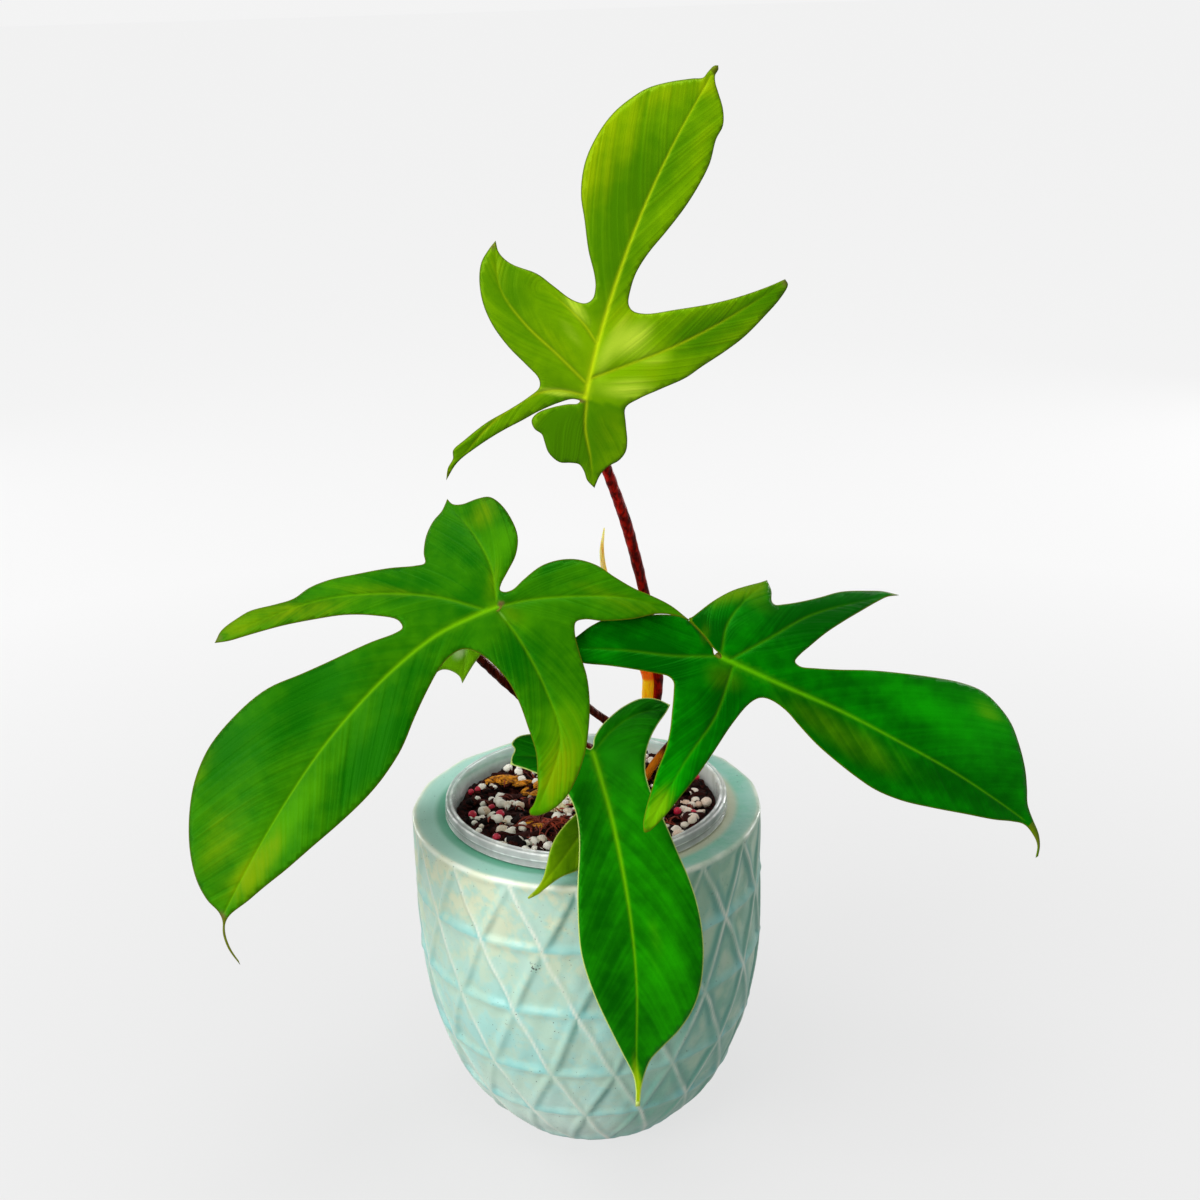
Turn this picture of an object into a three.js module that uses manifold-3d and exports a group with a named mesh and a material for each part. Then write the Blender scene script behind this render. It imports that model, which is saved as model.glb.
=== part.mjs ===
// A small climbing philodendron with deeply lobed leaves, in a clear nursery pot that stands in a
// glazed stoneware pot with a relief of triangles. Millimetres, +Z up; the origin is the centre of
// the flat foot of the stoneware pot.
import * as THREE from 'three';
import { mergeVertices } from 'three/addons/utils/BufferGeometryUtils.js';
import Module from 'manifold-3d';

const wasm = await Module();
wasm.setup();

// Driving dimensions of the stoneware pot
const POT_HEIGHT = 136.6;
const RIM_RADIUS = 72.5;
const FOOT_RADIUS = 41;
const OPENING_RADIUS = 60;
const POT_FLOOR = 9;
const TRIANGLES_ROUND = 17;
const RELIEF_TURN = -3.9;
const RELIEF_RINGS = [0, 26, 50, 80, 108.5, 134.6];
const DISH_DEPTH = 1.6;
const HOLLOW_DEPTH = 0.7;

// Driving dimensions of the nursery pot and its potting mix
const GAP = 0.3;
const CUP_WALL = 1.2;
const CUP_LIP_RADIUS = 58.4;
const CUP_TOP = 143.2;
const CUP_LIP_DROP = 4.8;
const CUP_TOP_RADIUS = 56.3;
const CUP_FOOT_RADIUS = 42;
const DRAIN_HOLES = 6;
const DRAIN_RADIUS = 4;
const MIX_TOP = 134.5;
const PERLITE_BEADS = 32;
const PERLITE_RADIUS = 2.4;

// Driving dimensions of the plant
const BLADE_THICKNESS = 0.8;
const STEM_FOOT = [28.3, 22, 100];
const STEM_TOP = [28.2, 19, 172];
const STEM_RADIUS = 6;

// Seeded draw, so that the mix is the same each time
let seed = 20177;
function draw() {
  seed = (seed * 48271) % 2147483647;
  return seed / 2147483647;
}

// Solids

function solidOf(geometry) {
  const bare = geometry.clone();
  bare.deleteAttribute('normal');
  bare.deleteAttribute('uv');
  const merged = mergeVertices(bare, 1e-4);
  return new wasm.Manifold(new wasm.Mesh({
    numProp: 3,
    vertProperties: new Float32Array(merged.attributes.position.array),
    triVerts: new Uint32Array(merged.index.array),
  }));
}

function geometryOf(solid) {
  const mesh = solid.getMesh();
  const geometry = new THREE.BufferGeometry();
  geometry.setAttribute('position', new THREE.BufferAttribute(new Float32Array(mesh.vertProperties), 3));
  geometry.setIndex(new THREE.BufferAttribute(new Uint32Array(mesh.triVerts), 1));
  geometry.computeVertexNormals();
  return geometry;
}

function largestPiece(solid) {
  const pieces = solid.decompose();
  return pieces.reduce((best, piece) => (piece.volume() > best.volume() ? piece : best));
}

function moved(solid, x, y, z) {
  return solid.translate([x, y, z]);
}

// A solid of revolution about Z from a profile of radius and height, given from the bottom up outside
function turnedSolid(profile, segments) {
  const lathe = new THREE.LatheGeometry(profile.map((p) => new THREE.Vector2(...p)), segments);
  lathe.rotateX(Math.PI / 2);
  return solidOf(lathe);
}

function indexed(points, triangles) {
  const geometry = new THREE.BufferGeometry();
  geometry.setAttribute('position', new THREE.Float32BufferAttribute(points.flat(), 3));
  geometry.setIndex(triangles.flat());
  return geometry;
}

// A round bar along a smooth curve, with its own radius at each of the curve's points
function taperedBar(points, radii, sides, steps) {
  const curve = new THREE.CatmullRomCurve3(points.map((p) => new THREE.Vector3(...p)), false, 'centripetal');
  const frames = curve.computeFrenetFrames(steps, false);
  const vertices = [];
  const triangles = [];
  for (let i = 0; i <= steps; i += 1) {
    const along = (i / steps) * (radii.length - 1);
    const k = Math.min(Math.floor(along), radii.length - 2);
    const radius = radii[k] + (radii[k + 1] - radii[k]) * (along - k);
    const centre = curve.getPointAt(i / steps);
    for (let j = 0; j < sides; j += 1) {
      const a = (2 * Math.PI * j) / sides;
      const p = centre.clone()
        .addScaledVector(frames.normals[i], Math.cos(a) * radius)
        .addScaledVector(frames.binormals[i], Math.sin(a) * radius);
      vertices.push([p.x, p.y, p.z]);
    }
  }
  for (let i = 0; i < steps; i += 1) {
    for (let j = 0; j < sides; j += 1) {
      const a = i * sides + j;
      const b = i * sides + ((j + 1) % sides);
      triangles.push([a, b, a + sides], [b, b + sides, a + sides]);
    }
  }
  for (let j = 1; j < sides - 1; j += 1) {
    const last = steps * sides;
    triangles.push([0, j + 1, j], [last, last + j, last + j + 1]);
  }
  return indexed(vertices, triangles);
}

// Stoneware pot: an egg-shaped wall with ridged triangles outside, a broad rim and a plain inside

const WALL_HEIGHTS = [0, 16.4, 41, 68.3, 95.6, 120.2, POT_HEIGHT];
const WALL_RADII = [FOOT_RADIUS, 55.1, 65.5, 71.3, 72.6, 72.5, RIM_RADIUS];

function wallRadius(z) {
  const last = WALL_HEIGHTS.length - 1;
  let k = 0;
  while (k < last - 1 && z > WALL_HEIGHTS[k + 1]) k += 1;
  const slope = (i) => {
    const a = Math.max(i - 1, 0);
    const b = Math.min(i + 1, last);
    return (WALL_RADII[b] - WALL_RADII[a]) / (WALL_HEIGHTS[b] - WALL_HEIGHTS[a]);
  };
  const span = WALL_HEIGHTS[k + 1] - WALL_HEIGHTS[k];
  const t = (z - WALL_HEIGHTS[k]) / span;
  const s = 1 - t;
  return WALL_RADII[k] * (1 + 2 * t) * s * s + slope(k) * span * t * s * s
    + WALL_RADII[k + 1] * (3 - 2 * t) * t * t - slope(k + 1) * span * t * t * s;
}

function ringPoint(radius, turns, z) {
  const angle = THREE.MathUtils.degToRad(RELIEF_TURN) + (2 * Math.PI * turns) / TRIANGLES_ROUND;
  return [radius * Math.sin(angle), -radius * Math.cos(angle), z];
}

// Where a point of the relief lies between two apexes of its row, 0 to 1: rows are staggered
function acrossRow(row, turns) {
  const shift = (RELIEF_RINGS.length - row) % 2 === 0 ? 0 : 0.5;
  return (((turns - shift) % 1) + 1) % 1;
}

// Depth of the relief under its ridges, which run along both diagonals of each row. A triangle that
// stands on its base is dished towards that base, one that stands on its point is nearly flat.
function reliefDepth(across, down) {
  const fromRidge = Math.min(Math.abs(across - down / 2), Math.abs(1 - down / 2 - across));
  const onBase = across < down / 2 || across > 1 - down / 2;
  const depth = onBase ? DISH_DEPTH * down : HOLLOW_DEPTH;
  return depth * Math.min(1, fromRidge / 0.2);
}

function stonewarePot() {
  const perColumn = 4;
  const levels = [1, 0.5, 0.07];
  const round = TRIANGLES_ROUND * perColumn;
  const vertices = [];
  const triangles = [];
  const leans = [];
  for (let row = 0; row < RELIEF_RINGS.length - 1; row += 1) {
    for (const down of levels) {
      const z = RELIEF_RINGS[row + 1] - down * (RELIEF_RINGS[row + 1] - RELIEF_RINGS[row]);
      leans.push(row);
      for (let c = 0; c < round; c += 1) {
        const turns = c / perColumn;
        const depth = z === 0 ? 0 : reliefDepth(acrossRow(row, turns), down);
        vertices.push(ringPoint(wallRadius(z) - depth, turns, z));
      }
    }
  }
  const rim = [[RIM_RADIUS, 135.4], [RIM_RADIUS - 0.6, 136.3], [RIM_RADIUS - 2.6, POT_HEIGHT]];
  for (const [radius, z] of rim) {
    for (let c = 0; c < round; c += 1) vertices.push(ringPoint(radius, c / perColumn, z));
  }
  const rings = vertices.length / round;
  for (let r = 0; r < rings - 1; r += 1) {
    for (let c = 0; c < round; c += 1) {
      const a = r * round + c;
      const b = r * round + ((c + 1) % round);
      const leansRight = r < leans.length && acrossRow(leans[r], (c + 0.5) / perColumn) > 0.5;
      if (leansRight) triangles.push([a, b, b + round], [a, b + round, a + round]);
      else triangles.push([a, b, a + round], [b, b + round, a + round]);
    }
  }
  const foot = vertices.push([0, 0, 0]) - 1;
  const top = vertices.push([0, 0, POT_HEIGHT]) - 1;
  for (let c = 0; c < round; c += 1) {
    const next = (c + 1) % round;
    triangles.push([foot, next, c], [top, (rings - 1) * round + c, (rings - 1) * round + next]);
  }
  const inside = turnedSolid([
    [0, POT_FLOOR], [44.5, POT_FLOOR], [48, 13], [57, 40], [63.5, 80], [63, 115],
    [OPENING_RADIUS, 132], [OPENING_RADIUS + 0.5, 135], [OPENING_RADIUS + 2.5, POT_HEIGHT],
    [OPENING_RADIUS + 2.5, 150], [0, 150],
  ], 48);
  return solidOf(indexed(vertices, triangles)).subtract(inside);
}

// Nursery pot: a thin tapered cup with a rolled lip and round drain holes in its floor

function cupRadius(z) {
  const bottom = POT_FLOOR + GAP;
  return CUP_FOOT_RADIUS + ((z - bottom) / (CUP_TOP - CUP_LIP_DROP - bottom)) * (CUP_TOP_RADIUS - CUP_FOOT_RADIUS);
}

function nurseryPot() {
  const bottom = POT_FLOOR + GAP;
  const under = CUP_TOP - CUP_LIP_DROP;
  let cup = turnedSolid([
    [0, bottom], [CUP_FOOT_RADIUS, bottom], [CUP_TOP_RADIUS, under],
    [CUP_LIP_RADIUS, under], [CUP_LIP_RADIUS, CUP_TOP - 1.2], [CUP_LIP_RADIUS - 0.9, CUP_TOP],
    [CUP_TOP_RADIUS, CUP_TOP], [CUP_TOP_RADIUS - CUP_WALL, CUP_TOP - 1.6],
    [CUP_TOP_RADIUS - CUP_WALL, under], [CUP_FOOT_RADIUS - CUP_WALL, bottom + CUP_WALL],
    [0, bottom + CUP_WALL],
  ], 48);
  for (let i = 0; i < DRAIN_HOLES; i += 1) {
    const angle = (2 * Math.PI * i) / DRAIN_HOLES;
    const drill = new THREE.CylinderGeometry(DRAIN_RADIUS, DRAIN_RADIUS, 6, 10);
    drill.rotateX(Math.PI / 2);
    drill.translate(26 * Math.cos(angle), 26 * Math.sin(angle), bottom);
    cup = cup.subtract(solidOf(drill));
  }
  return cup;
}

// Potting mix: one body with a lumpy top, low beads of perlite and two bark chips

function mixHeight(x, y) {
  return MIX_TOP + 1.1 * Math.sin(x * 0.21 + 1.3) * Math.cos(y * 0.17) + 0.7 * Math.sin(x * 0.43 - y * 0.38);
}

function pottingMix(standing) {
  const bottom = POT_FLOOR + GAP + CUP_WALL + GAP;
  const rings = [0.14, 0.32, 0.5, 0.68, 0.85, 1];
  const around = 36;
  const reach = cupRadius(MIX_TOP) - CUP_WALL - GAP - 0.4;
  const vertices = [[0, 0, mixHeight(0, 0)]];
  const triangles = [];
  for (const share of rings) {
    for (let j = 0; j < around; j += 1) {
      const a = (2 * Math.PI * j) / around;
      const x = reach * share * Math.cos(a);
      const y = reach * share * Math.sin(a);
      vertices.push([x, y, mixHeight(x, y)]);
    }
  }
  for (let j = 0; j < around; j += 1) {
    triangles.push([0, 1 + j, 1 + ((j + 1) % around)]);
    for (let r = 0; r < rings.length - 1; r += 1) {
      const a = 1 + r * around + j;
      const b = 1 + r * around + ((j + 1) % around);
      triangles.push([a, a + around, b], [b, a + around, b + around]);
    }
  }
  const edge = 1 + (rings.length - 1) * around;
  const foot = vertices.length;
  const footReach = cupRadius(bottom) - CUP_WALL - GAP - 0.4;
  for (let j = 0; j < around; j += 1) {
    const a = (2 * Math.PI * j) / around;
    vertices.push([footReach * Math.cos(a), footReach * Math.sin(a), bottom]);
  }
  const centre = vertices.push([0, 0, bottom]) - 1;
  for (let j = 0; j < around; j += 1) {
    const next = (j + 1) % around;
    triangles.push([edge + j, foot + j, edge + next], [edge + next, foot + j, foot + next]);
    triangles.push([centre, foot + next, foot + j]);
  }
  let mix = solidOf(indexed(vertices, triangles));
  const lumps = [];
  for (let i = 0; i < PERLITE_BEADS; i += 1) {
    const out = (reach - 4) * Math.sqrt(draw());
    const angle = 2 * Math.PI * draw();
    const x = out * Math.cos(angle);
    const y = out * Math.sin(angle);
    const size = PERLITE_RADIUS * (0.75 + 0.45 * draw());
    const bead = new THREE.IcosahedronGeometry(size, 0);
    bead.rotateX(6 * draw());
    bead.rotateZ(6 * draw());
    bead.translate(x, y, mixHeight(x, y) + size * 0.25);
    if (Math.hypot(x - STEM_FOOT[0], y - STEM_FOOT[1]) > STEM_RADIUS + size + 3) lumps.push(solidOf(bead));
  }
  const chips = [[-27, 27, 0.5, 0.15], [31, -8, 1.9, -0.2], [-8, 40, 2.6, 0.1]];
  for (const [x, y, turn, tilt] of chips) {
    const chip = new THREE.BoxGeometry(13, 5, 3);
    chip.rotateY(tilt);
    chip.rotateZ(turn);
    chip.translate(x, y, mixHeight(x, y) + 0.6);
    lumps.push(solidOf(chip));
  }
  for (const lump of lumps) mix = mix.add(lump);
  return largestPiece(mix.subtract(standing));
}

// Leaves. A blade is drawn flat, x to its right and y along its midrib from the joint with the
// petiole, as five margins that run from lobe tip to lobe tip through the cut between the lobes.
// It is then bent: each lobe curves back by its own drop over its own reach.

const FOLD_HEIGHT = 0.1;
const FOLD_REACH = 12;

function lobeDrop(leaf, x, y) {
  const r = Math.hypot(x, y);
  const heading = Math.atan2(x, y);
  let weight = 0;
  let height = 0;
  for (const { turn, reach, drop } of leaf.bends) {
    const share = Math.exp(leaf.spread * (Math.cos(heading - THREE.MathUtils.degToRad(turn)) - 1));
    weight += share;
    height -= share * drop * (r / reach) ** 2;
  }
  return height / weight;
}

function veinDistance(leaf, x, y) {
  let nearest = Infinity;
  for (const vein of leaf.veins) {
    for (let i = 0; i < vein.length - 1; i += 1) {
      const [ax, ay] = vein[i];
      const bx = vein[i + 1][0] - ax;
      const by = vein[i + 1][1] - ay;
      const t = THREE.MathUtils.clamp(((x - ax) * bx + (y - ay) * by) / (bx * bx + by * by), 0, 1);
      nearest = Math.min(nearest, Math.hypot(x - ax - t * bx, y - ay - t * by));
    }
  }
  return nearest;
}

function bladeHeight(leaf, x, y) {
  const rise = FOLD_HEIGHT * FOLD_REACH * (1 - Math.exp(-veinDistance(leaf, x, y) / FOLD_REACH));
  const wave = leaf.wave * Math.sin(0.11 * y + 0.07 * x + leaf.phase) * Math.min(1, veinDistance(leaf, x, y) / 15);
  return lobeDrop(leaf, x, y) + rise + wave;
}

function bladeFrame(leaf) {
  const along = new THREE.Vector3(...leaf.along).normalize();
  const right = new THREE.Vector3().crossVectors(along, new THREE.Vector3(...leaf.faces)).normalize();
  const up = new THREE.Vector3().crossVectors(right, along);
  return { joint: new THREE.Vector3(...leaf.joint), along, right, up };
}

function bladePoint(leaf, frame, x, y) {
  return frame.joint.clone()
    .addScaledVector(frame.right, x)
    .addScaledVector(frame.along, y)
    .addScaledVector(frame.up, bladeHeight(leaf, x, y));
}

function bladeNormal(leaf, frame, x, y) {
  const h = 0.5;
  const dx = bladePoint(leaf, frame, x + h, y).sub(bladePoint(leaf, frame, x - h, y));
  const dy = bladePoint(leaf, frame, x, y + h).sub(bladePoint(leaf, frame, x, y - h));
  return dx.cross(dy).normalize();
}

function outlineOf(leaf, samples) {
  const outline = [];
  for (const margin of leaf.margins) {
    const points = margin.map(([x, y]) => new THREE.Vector3(x, y, 0));
    const curve = new THREE.CatmullRomCurve3(points, false, 'centripetal');
    const count = (margin.length - 1) * samples;
    for (let i = 0; i < count; i += 1) {
      const p = curve.getPoint(i / count);
      outline.push(new THREE.Vector2(p.x, p.y));
    }
  }
  if (THREE.ShapeUtils.isClockWise(outline)) outline.reverse();
  return outline;
}

function insideOutline(outline, x, y) {
  let inside = false;
  for (let i = 0, j = outline.length - 1; i < outline.length; j = i, i += 1) {
    const a = outline[i];
    const b = outline[j];
    if ((a.y > y) !== (b.y > y) && x < ((b.x - a.x) * (y - a.y)) / (b.y - a.y) + a.x) inside = !inside;
  }
  return inside;
}

function outlineDistance(outline, x, y) {
  let nearest = Infinity;
  for (let i = 0; i < outline.length; i += 1) {
    const a = outline[i];
    const b = outline[(i + 1) % outline.length];
    const bx = b.x - a.x;
    const by = b.y - a.y;
    const t = THREE.MathUtils.clamp(((x - a.x) * bx + (y - a.y) * by) / (bx * bx + by * by), 0, 1);
    nearest = Math.min(nearest, Math.hypot(x - a.x - t * bx, y - a.y - t * by));
  }
  return nearest;
}

function side(a, b, c) {
  return (b.x - a.x) * (c.y - a.y) - (b.y - a.y) * (c.x - a.x);
}

function inCircle(a, b, c, d) {
  const rows = [a, b, c].map((p) => [p.x - d.x, p.y - d.y, (p.x - d.x) ** 2 + (p.y - d.y) ** 2]);
  const [p, q, r] = rows;
  return p[0] * (q[1] * r[2] - q[2] * r[1]) - p[1] * (q[0] * r[2] - q[2] * r[0])
    + p[2] * (q[0] * r[1] - q[1] * r[0]) > 1e-6;
}

// Even triangles inside an outline: the outline's own triangles are split at inner points, and
// then the shared edges are turned until every triangle is as plump as it can be
function triangulate(outline, inner) {
  const points = [...outline, ...inner];
  let triangles = THREE.ShapeUtils.triangulateShape(outline, []).map((t) => (
    side(points[t[0]], points[t[1]], points[t[2]]) > 0 ? [...t] : [t[0], t[2], t[1]]
  ));
  for (let k = outline.length; k < points.length; k += 1) {
    const p = points[k];
    const hit = triangles.findIndex(([a, b, c]) => side(points[a], points[b], p) > 0
      && side(points[b], points[c], p) > 0 && side(points[c], points[a], p) > 0);
    if (hit >= 0) {
      const [a, b, c] = triangles[hit];
      triangles.splice(hit, 1, [a, b, k], [b, c, k], [c, a, k]);
    }
  }
  let turned = true;
  for (let pass = 0; pass < 400 && turned; pass += 1) {
    turned = false;
    const edges = new Map();
    triangles.forEach((t, i) => {
      for (let e = 0; e < 3; e += 1) edges.set(`${t[e]}_${t[(e + 1) % 3]}`, [i, t[(e + 2) % 3]]);
    });
    const used = new Set();
    for (const [key, [i, c]] of edges) {
      const [a, b] = key.split('_').map(Number);
      const other = edges.get(`${b}_${a}`);
      if (a < b && other && !used.has(i) && !used.has(other[0])) {
        const d = other[1];
        const [pa, pb, pc, pd] = [a, b, c, d].map((n) => points[n]);
        if (inCircle(pa, pb, pc, pd) && side(pa, pd, pc) > 1e-9 && side(pd, pb, pc) > 1e-9) {
          triangles[i] = [a, d, c];
          triangles[other[0]] = [d, b, c];
          used.add(i);
          used.add(other[0]);
          turned = true;
        }
      }
    }
  }
  return { points, triangles };
}

function bladeSolid(leaf, thickness, samples = 2, pitch = 10) {
  const frame = bladeFrame(leaf);
  const outline = outlineOf(leaf, samples);
  const inner = [];
  let row = 0;
  for (let y = -120; y < 180; y += pitch * 0.87) {
    row += 1;
    for (let x = -100 + (row % 2) * pitch * 0.5; x < 120; x += pitch) {
      const px = x + 0.37 * Math.sin(row * 1.7);
      if (insideOutline(outline, px, y) && outlineDistance(outline, px, y) > pitch * 0.42) {
        inner.push(new THREE.Vector2(px, y));
      }
    }
  }
  const { points, triangles } = triangulate(outline, inner);
  const count = points.length;
  const vertices = [];
  for (const face of [0.5, -0.5]) {
    for (const { x, y } of points) {
      const p = bladePoint(leaf, frame, x, y).addScaledVector(bladeNormal(leaf, frame, x, y), face * thickness);
      vertices.push([p.x, p.y, p.z]);
    }
  }
  const faces = [];
  for (const [a, b, c] of triangles) faces.push([a, b, c], [a + count, c + count, b + count]);
  for (let i = 0; i < outline.length; i += 1) {
    const j = (i + 1) % outline.length;
    faces.push([i, i + count, j], [j, i + count, j + count]);
  }
  return solidOf(indexed(vertices, faces));
}

// Top leaf: upright, with a drop-shaped middle lobe and a lobe folded down in front of its petiole
const topLeaf = {
  joint: [5.1, -40.6, 317.6],
  along: [0.395, 0.006, 0.919],
  faces: [-0.013, -1, 0.012],
  spread: 5,
  wave: 0.5,
  phase: 0.4,
  bends: [
    { turn: 0, reach: 150, drop: 14 }, { turn: -52, reach: 85, drop: 9 }, { turn: 38, reach: 95, drop: 12 },
    { turn: -143, reach: 70, drop: -4 }, { turn: 154, reach: 45, drop: 5 },
  ],
  veins: [
    [[0, 0], [-3, 20], [-5, 45], [-5.3, 70], [-3.5, 95], [0, 119]],
    [[0, 8], [10, 17], [20, 26], [33, 40], [51, 63]],
    [[1, -1], [4, -10], [10, -20], [15, -30]],
    [[0, 1], [-10, -1], [-18, -6], [-28, -21], [-36, -45]],
    [[-1, 5], [-15, 11], [-30, 17], [-42, 25], [-49, 38]],
  ],
  margins: [
    [[1, 122], [0.7, 118.5], [4, 115], [8, 110], [10, 105], [9.5, 100], [10.5, 92], [9.8, 84], [8, 75],
      [5, 65], [2, 56], [0.5, 48], [0.8, 42], [2, 37], [4.3, 35.3], [9, 36], [18, 41], [30, 48], [38, 53.5],
      [46, 60], [51, 64.7]],
    [[51, 64.7], [52.7, 63.3], [52, 58], [49, 50], [45, 41], [40, 33], [35, 26], [31, 20], [24, 13], [18, 7],
      [14.8, 2.3], [17, -3], [20, -9], [21, -13], [20, -17], [17, -21], [15.7, -25], [15.6, -30.4]],
    [[15.6, -30.4], [12, -28.5], [9.5, -25.5], [7, -23.8], [4, -24.3], [0, -25.5], [-5, -23.5], [-8, -20],
      [-9.7, -18], [-13, -17], [-15, -14.5], [-14, -11.3], [-10, -7.6], [-5, -4.3], [-1.8, -2.8], [-1.4, -1.6],
      [-4, -1.9], [-8, -4.8], [-13.5, -10.2], [-18, -15.6], [-24, -22.6], [-30, -31], [-34.6, -39], [-36, -46.5]],
    [[-36, -46.5], [-37, -42], [-36.5, -38], [-37.5, -35], [-35, -30], [-30, -21.5], [-24, -14], [-19, -7],
      [-16.7, -2.5], [-18, 0.5], [-24, 3.5], [-32, 7], [-40, 12], [-46, 18], [-50, 25], [-51.5, 31],
      [-50.7, 36], [-49.5, 39.8]],
    [[-49.5, 39.8], [-47, 36.5], [-42, 34.6], [-32, 34.8], [-25, 33], [-17, 31], [-12.3, 31.6], [-10.5, 34],
      [-11, 38], [-13, 42], [-18, 49], [-23, 58], [-27.5, 66], [-30, 76], [-29.5, 86], [-27, 95], [-23, 102],
      [-19, 107], [-13, 111.5], [-6, 115.5], [-1.8, 117.8], [-0.4, 120], [1, 122]],
  ],
};

// Left leaf: the largest, its middle lobe hangs forward and ends in a dry thread
const leftLeaf = {
  joint: [-29.7, -51.7, 243.2],
  along: [-0.674, -0.322, -0.665],
  faces: [-0.075, -0.865, 0.495],
  spread: 5,
  wave: 0.7,
  phase: 1.7,
  bends: [
    { turn: 0, reach: 165, drop: 10 }, { turn: -53, reach: 85, drop: 4 }, { turn: 42, reach: 115, drop: 10 },
    { turn: -129, reach: 80, drop: 10 }, { turn: 114, reach: 50, drop: 8 },
  ],
  veins: [
    [[0, 0], [4, 8], [10, 22], [14, 42], [15.5, 65], [15, 85], [12, 110], [8, 132], [4, 150]],
    [[3, 4], [20, 12], [40, 27], [55, 43], [75, 77]],
    [[2, -2], [12, -10], [25, -15], [42, -18]],
    [[-1, -1], [-8, -10], [-20, -22], [-35, -34], [-54, -42]],
    [[-2, 1], [-15, 4], [-35, 12], [-50, 22], [-60, 46]],
  ],
  margins: [
    [[-13, 160], [-6, 158.9], [-0.5, 156.3], [3, 152.5], [6, 151.2], [12, 150.8], [20, 148], [30, 141],
      [40, 130], [46, 120], [49.5, 108], [49, 92], [46, 78], [40, 66], [33, 52], [27, 40], [22.3, 31.5],
      [21.7, 28.6], [25, 27.6], [33, 32], [42, 39], [50, 47.5], [58, 57], [66, 68], [71, 75], [74.8, 79]],
    [[74.8, 79], [76, 74], [74, 66], [72, 61], [66, 53], [62, 47], [60, 40], [56, 33], [49, 24.5], [41, 15],
      [34, 8], [32, 5], [35, 2.5], [39, -3], [41, -9], [41.3, -14], [43.2, -19]],
    [[43.2, -19], [40, -18.8], [37, -21], [34, -26], [31, -29.5], [27, -30.3], [20, -29], [12, -25],
      [7.5, -19], [5.5, -12], [4.6, -6], [2.4, -2.8], [0.4, -3.2], [-0.8, -8], [-1, -14], [-2.5, -22],
      [-6, -28], [-11, -32.5], [-18, -35.5], [-26, -36.5], [-34, -38], [-40, -40], [-48, -42], [-56.5, -42.4]],
    [[-56.5, -42.4], [-51, -40], [-46, -36], [-41, -29], [-33, -21], [-28, -17.5], [-26, -14.5], [-28, -11.5],
      [-34, -7], [-42, -2], [-49, 4.5], [-55, 12], [-60, 20], [-63.6, 29], [-65, 36], [-64.6, 41], [-63, 45.5],
      [-61, 48.3], [-59.2, 49.5]],
    [[-59.2, 49.5], [-58, 48.5], [-57.6, 45.5], [-55.5, 41], [-51.5, 36.5], [-46.5, 31.3], [-38, 26],
      [-30, 21.5], [-22, 18.3], [-13, 17], [-6, 17.5], [-1, 20], [1, 25], [1, 31], [-1, 40], [-4, 50],
      [-8, 62], [-9.5, 73], [-9.5, 83], [-8, 97], [-6, 110], [-4, 122], [-1.5, 133], [0, 141], [1.6, 149],
      [0.8, 152.5], [-1.6, 155.2], [-6.5, 157.6], [-13, 159.2]],
  ],
};

// Right leaf: dark, its middle lobe reaches out sideways and ends in a curved drip tip
const rightLeaf = {
  joint: [52, -55.5, 222.2],
  along: [0.858, -0.135, -0.496],
  faces: [0.106, -0.897, 0.427],
  spread: 5,
  wave: 0.7,
  phase: 0.2,
  bends: [
    { turn: 0, reach: 145, drop: 8 }, { turn: -48, reach: 75, drop: 10 }, { turn: -88, reach: 36, drop: 16 },
    { turn: 83, reach: 75, drop: 2 }, { turn: 153, reach: 56, drop: 6 },
  ],
  veins: [
    [[0, 1], [-2, 25], [-4.5, 50], [-5.5, 75], [-6, 100], [-5, 120], [-4, 132]],
    [[1, 6], [20, 9], [40, 7], [67, 6.5]],
    [[1, -2], [8, -15], [15, -32], [25, -53]],
    [[-1, 0], [-12, -3], [-24, -1], [-35, 3.3]],
    [[-1, 4], [-15, 13], [-32, 24], [-58, 51]],
  ],
  margins: [
    [[6.5, 143.8], [2, 142.3], [-0.8, 138.7], [-2.4, 134], [-1, 129], [2, 122], [6, 110], [10, 98],
      [13.5, 86], [15, 75], [14.5, 66], [13, 56], [11, 47], [8, 38], [5.6, 31], [5, 24], [6.3, 20.3],
      [10, 17.8], [20, 15.7], [32, 14.6], [42, 13.5], [53, 11.5], [62, 9.8], [68.5, 7.8]],
    [[68.5, 7.8], [70, 6.3], [67.5, 4.3], [62, 2.5], [55, 1], [48, -0.5], [40, -1.5], [33, -3.5], [27, -6],
      [20, -9], [16.7, -10.8], [15.8, -13.3], [17, -18], [20, -27], [23, -35], [26, -42], [28, -49], [28, -56]],
    [[28, -56], [25, -54.5], [20, -50.5], [14, -47.8], [9, -44], [4, -35.5], [-1, -25.5], [-4.6, -17.5],
      [-4.6, -12], [-3, -6.5], [-1, -3], [-0.2, -0.6], [-1.2, -0.4], [-2.4, -3], [-4.4, -7.5], [-6.4, -12],
      [-7.2, -15.7], [-12, -13.7], [-18, -11], [-25, -7], [-30, -2.5], [-34, 1.5], [-36.3, 3.5]],
    [[-36.3, 3.5], [-33, 6.5], [-29, 8.2], [-28.3, 9.8], [-30, 12.5], [-34, 17.5], [-40, 24], [-47, 31],
      [-53, 40], [-57, 47], [-59, 53]],
    [[-59, 53], [-56, 49.2], [-51, 45.5], [-44, 41], [-36, 36], [-28, 31.5], [-20, 28], [-15, 26],
      [-12.2, 25.6], [-11.5, 28], [-14, 34], [-18, 42], [-24, 53], [-30, 66], [-35, 78], [-38.5, 88],
      [-40, 97], [-38.5, 105], [-35, 113], [-29, 119.5], [-22, 125], [-15, 129], [-10, 131.7], [-6, 136],
      [-2, 140.8], [2, 143.4], [6.5, 144.6]],
  ],
};

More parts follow.
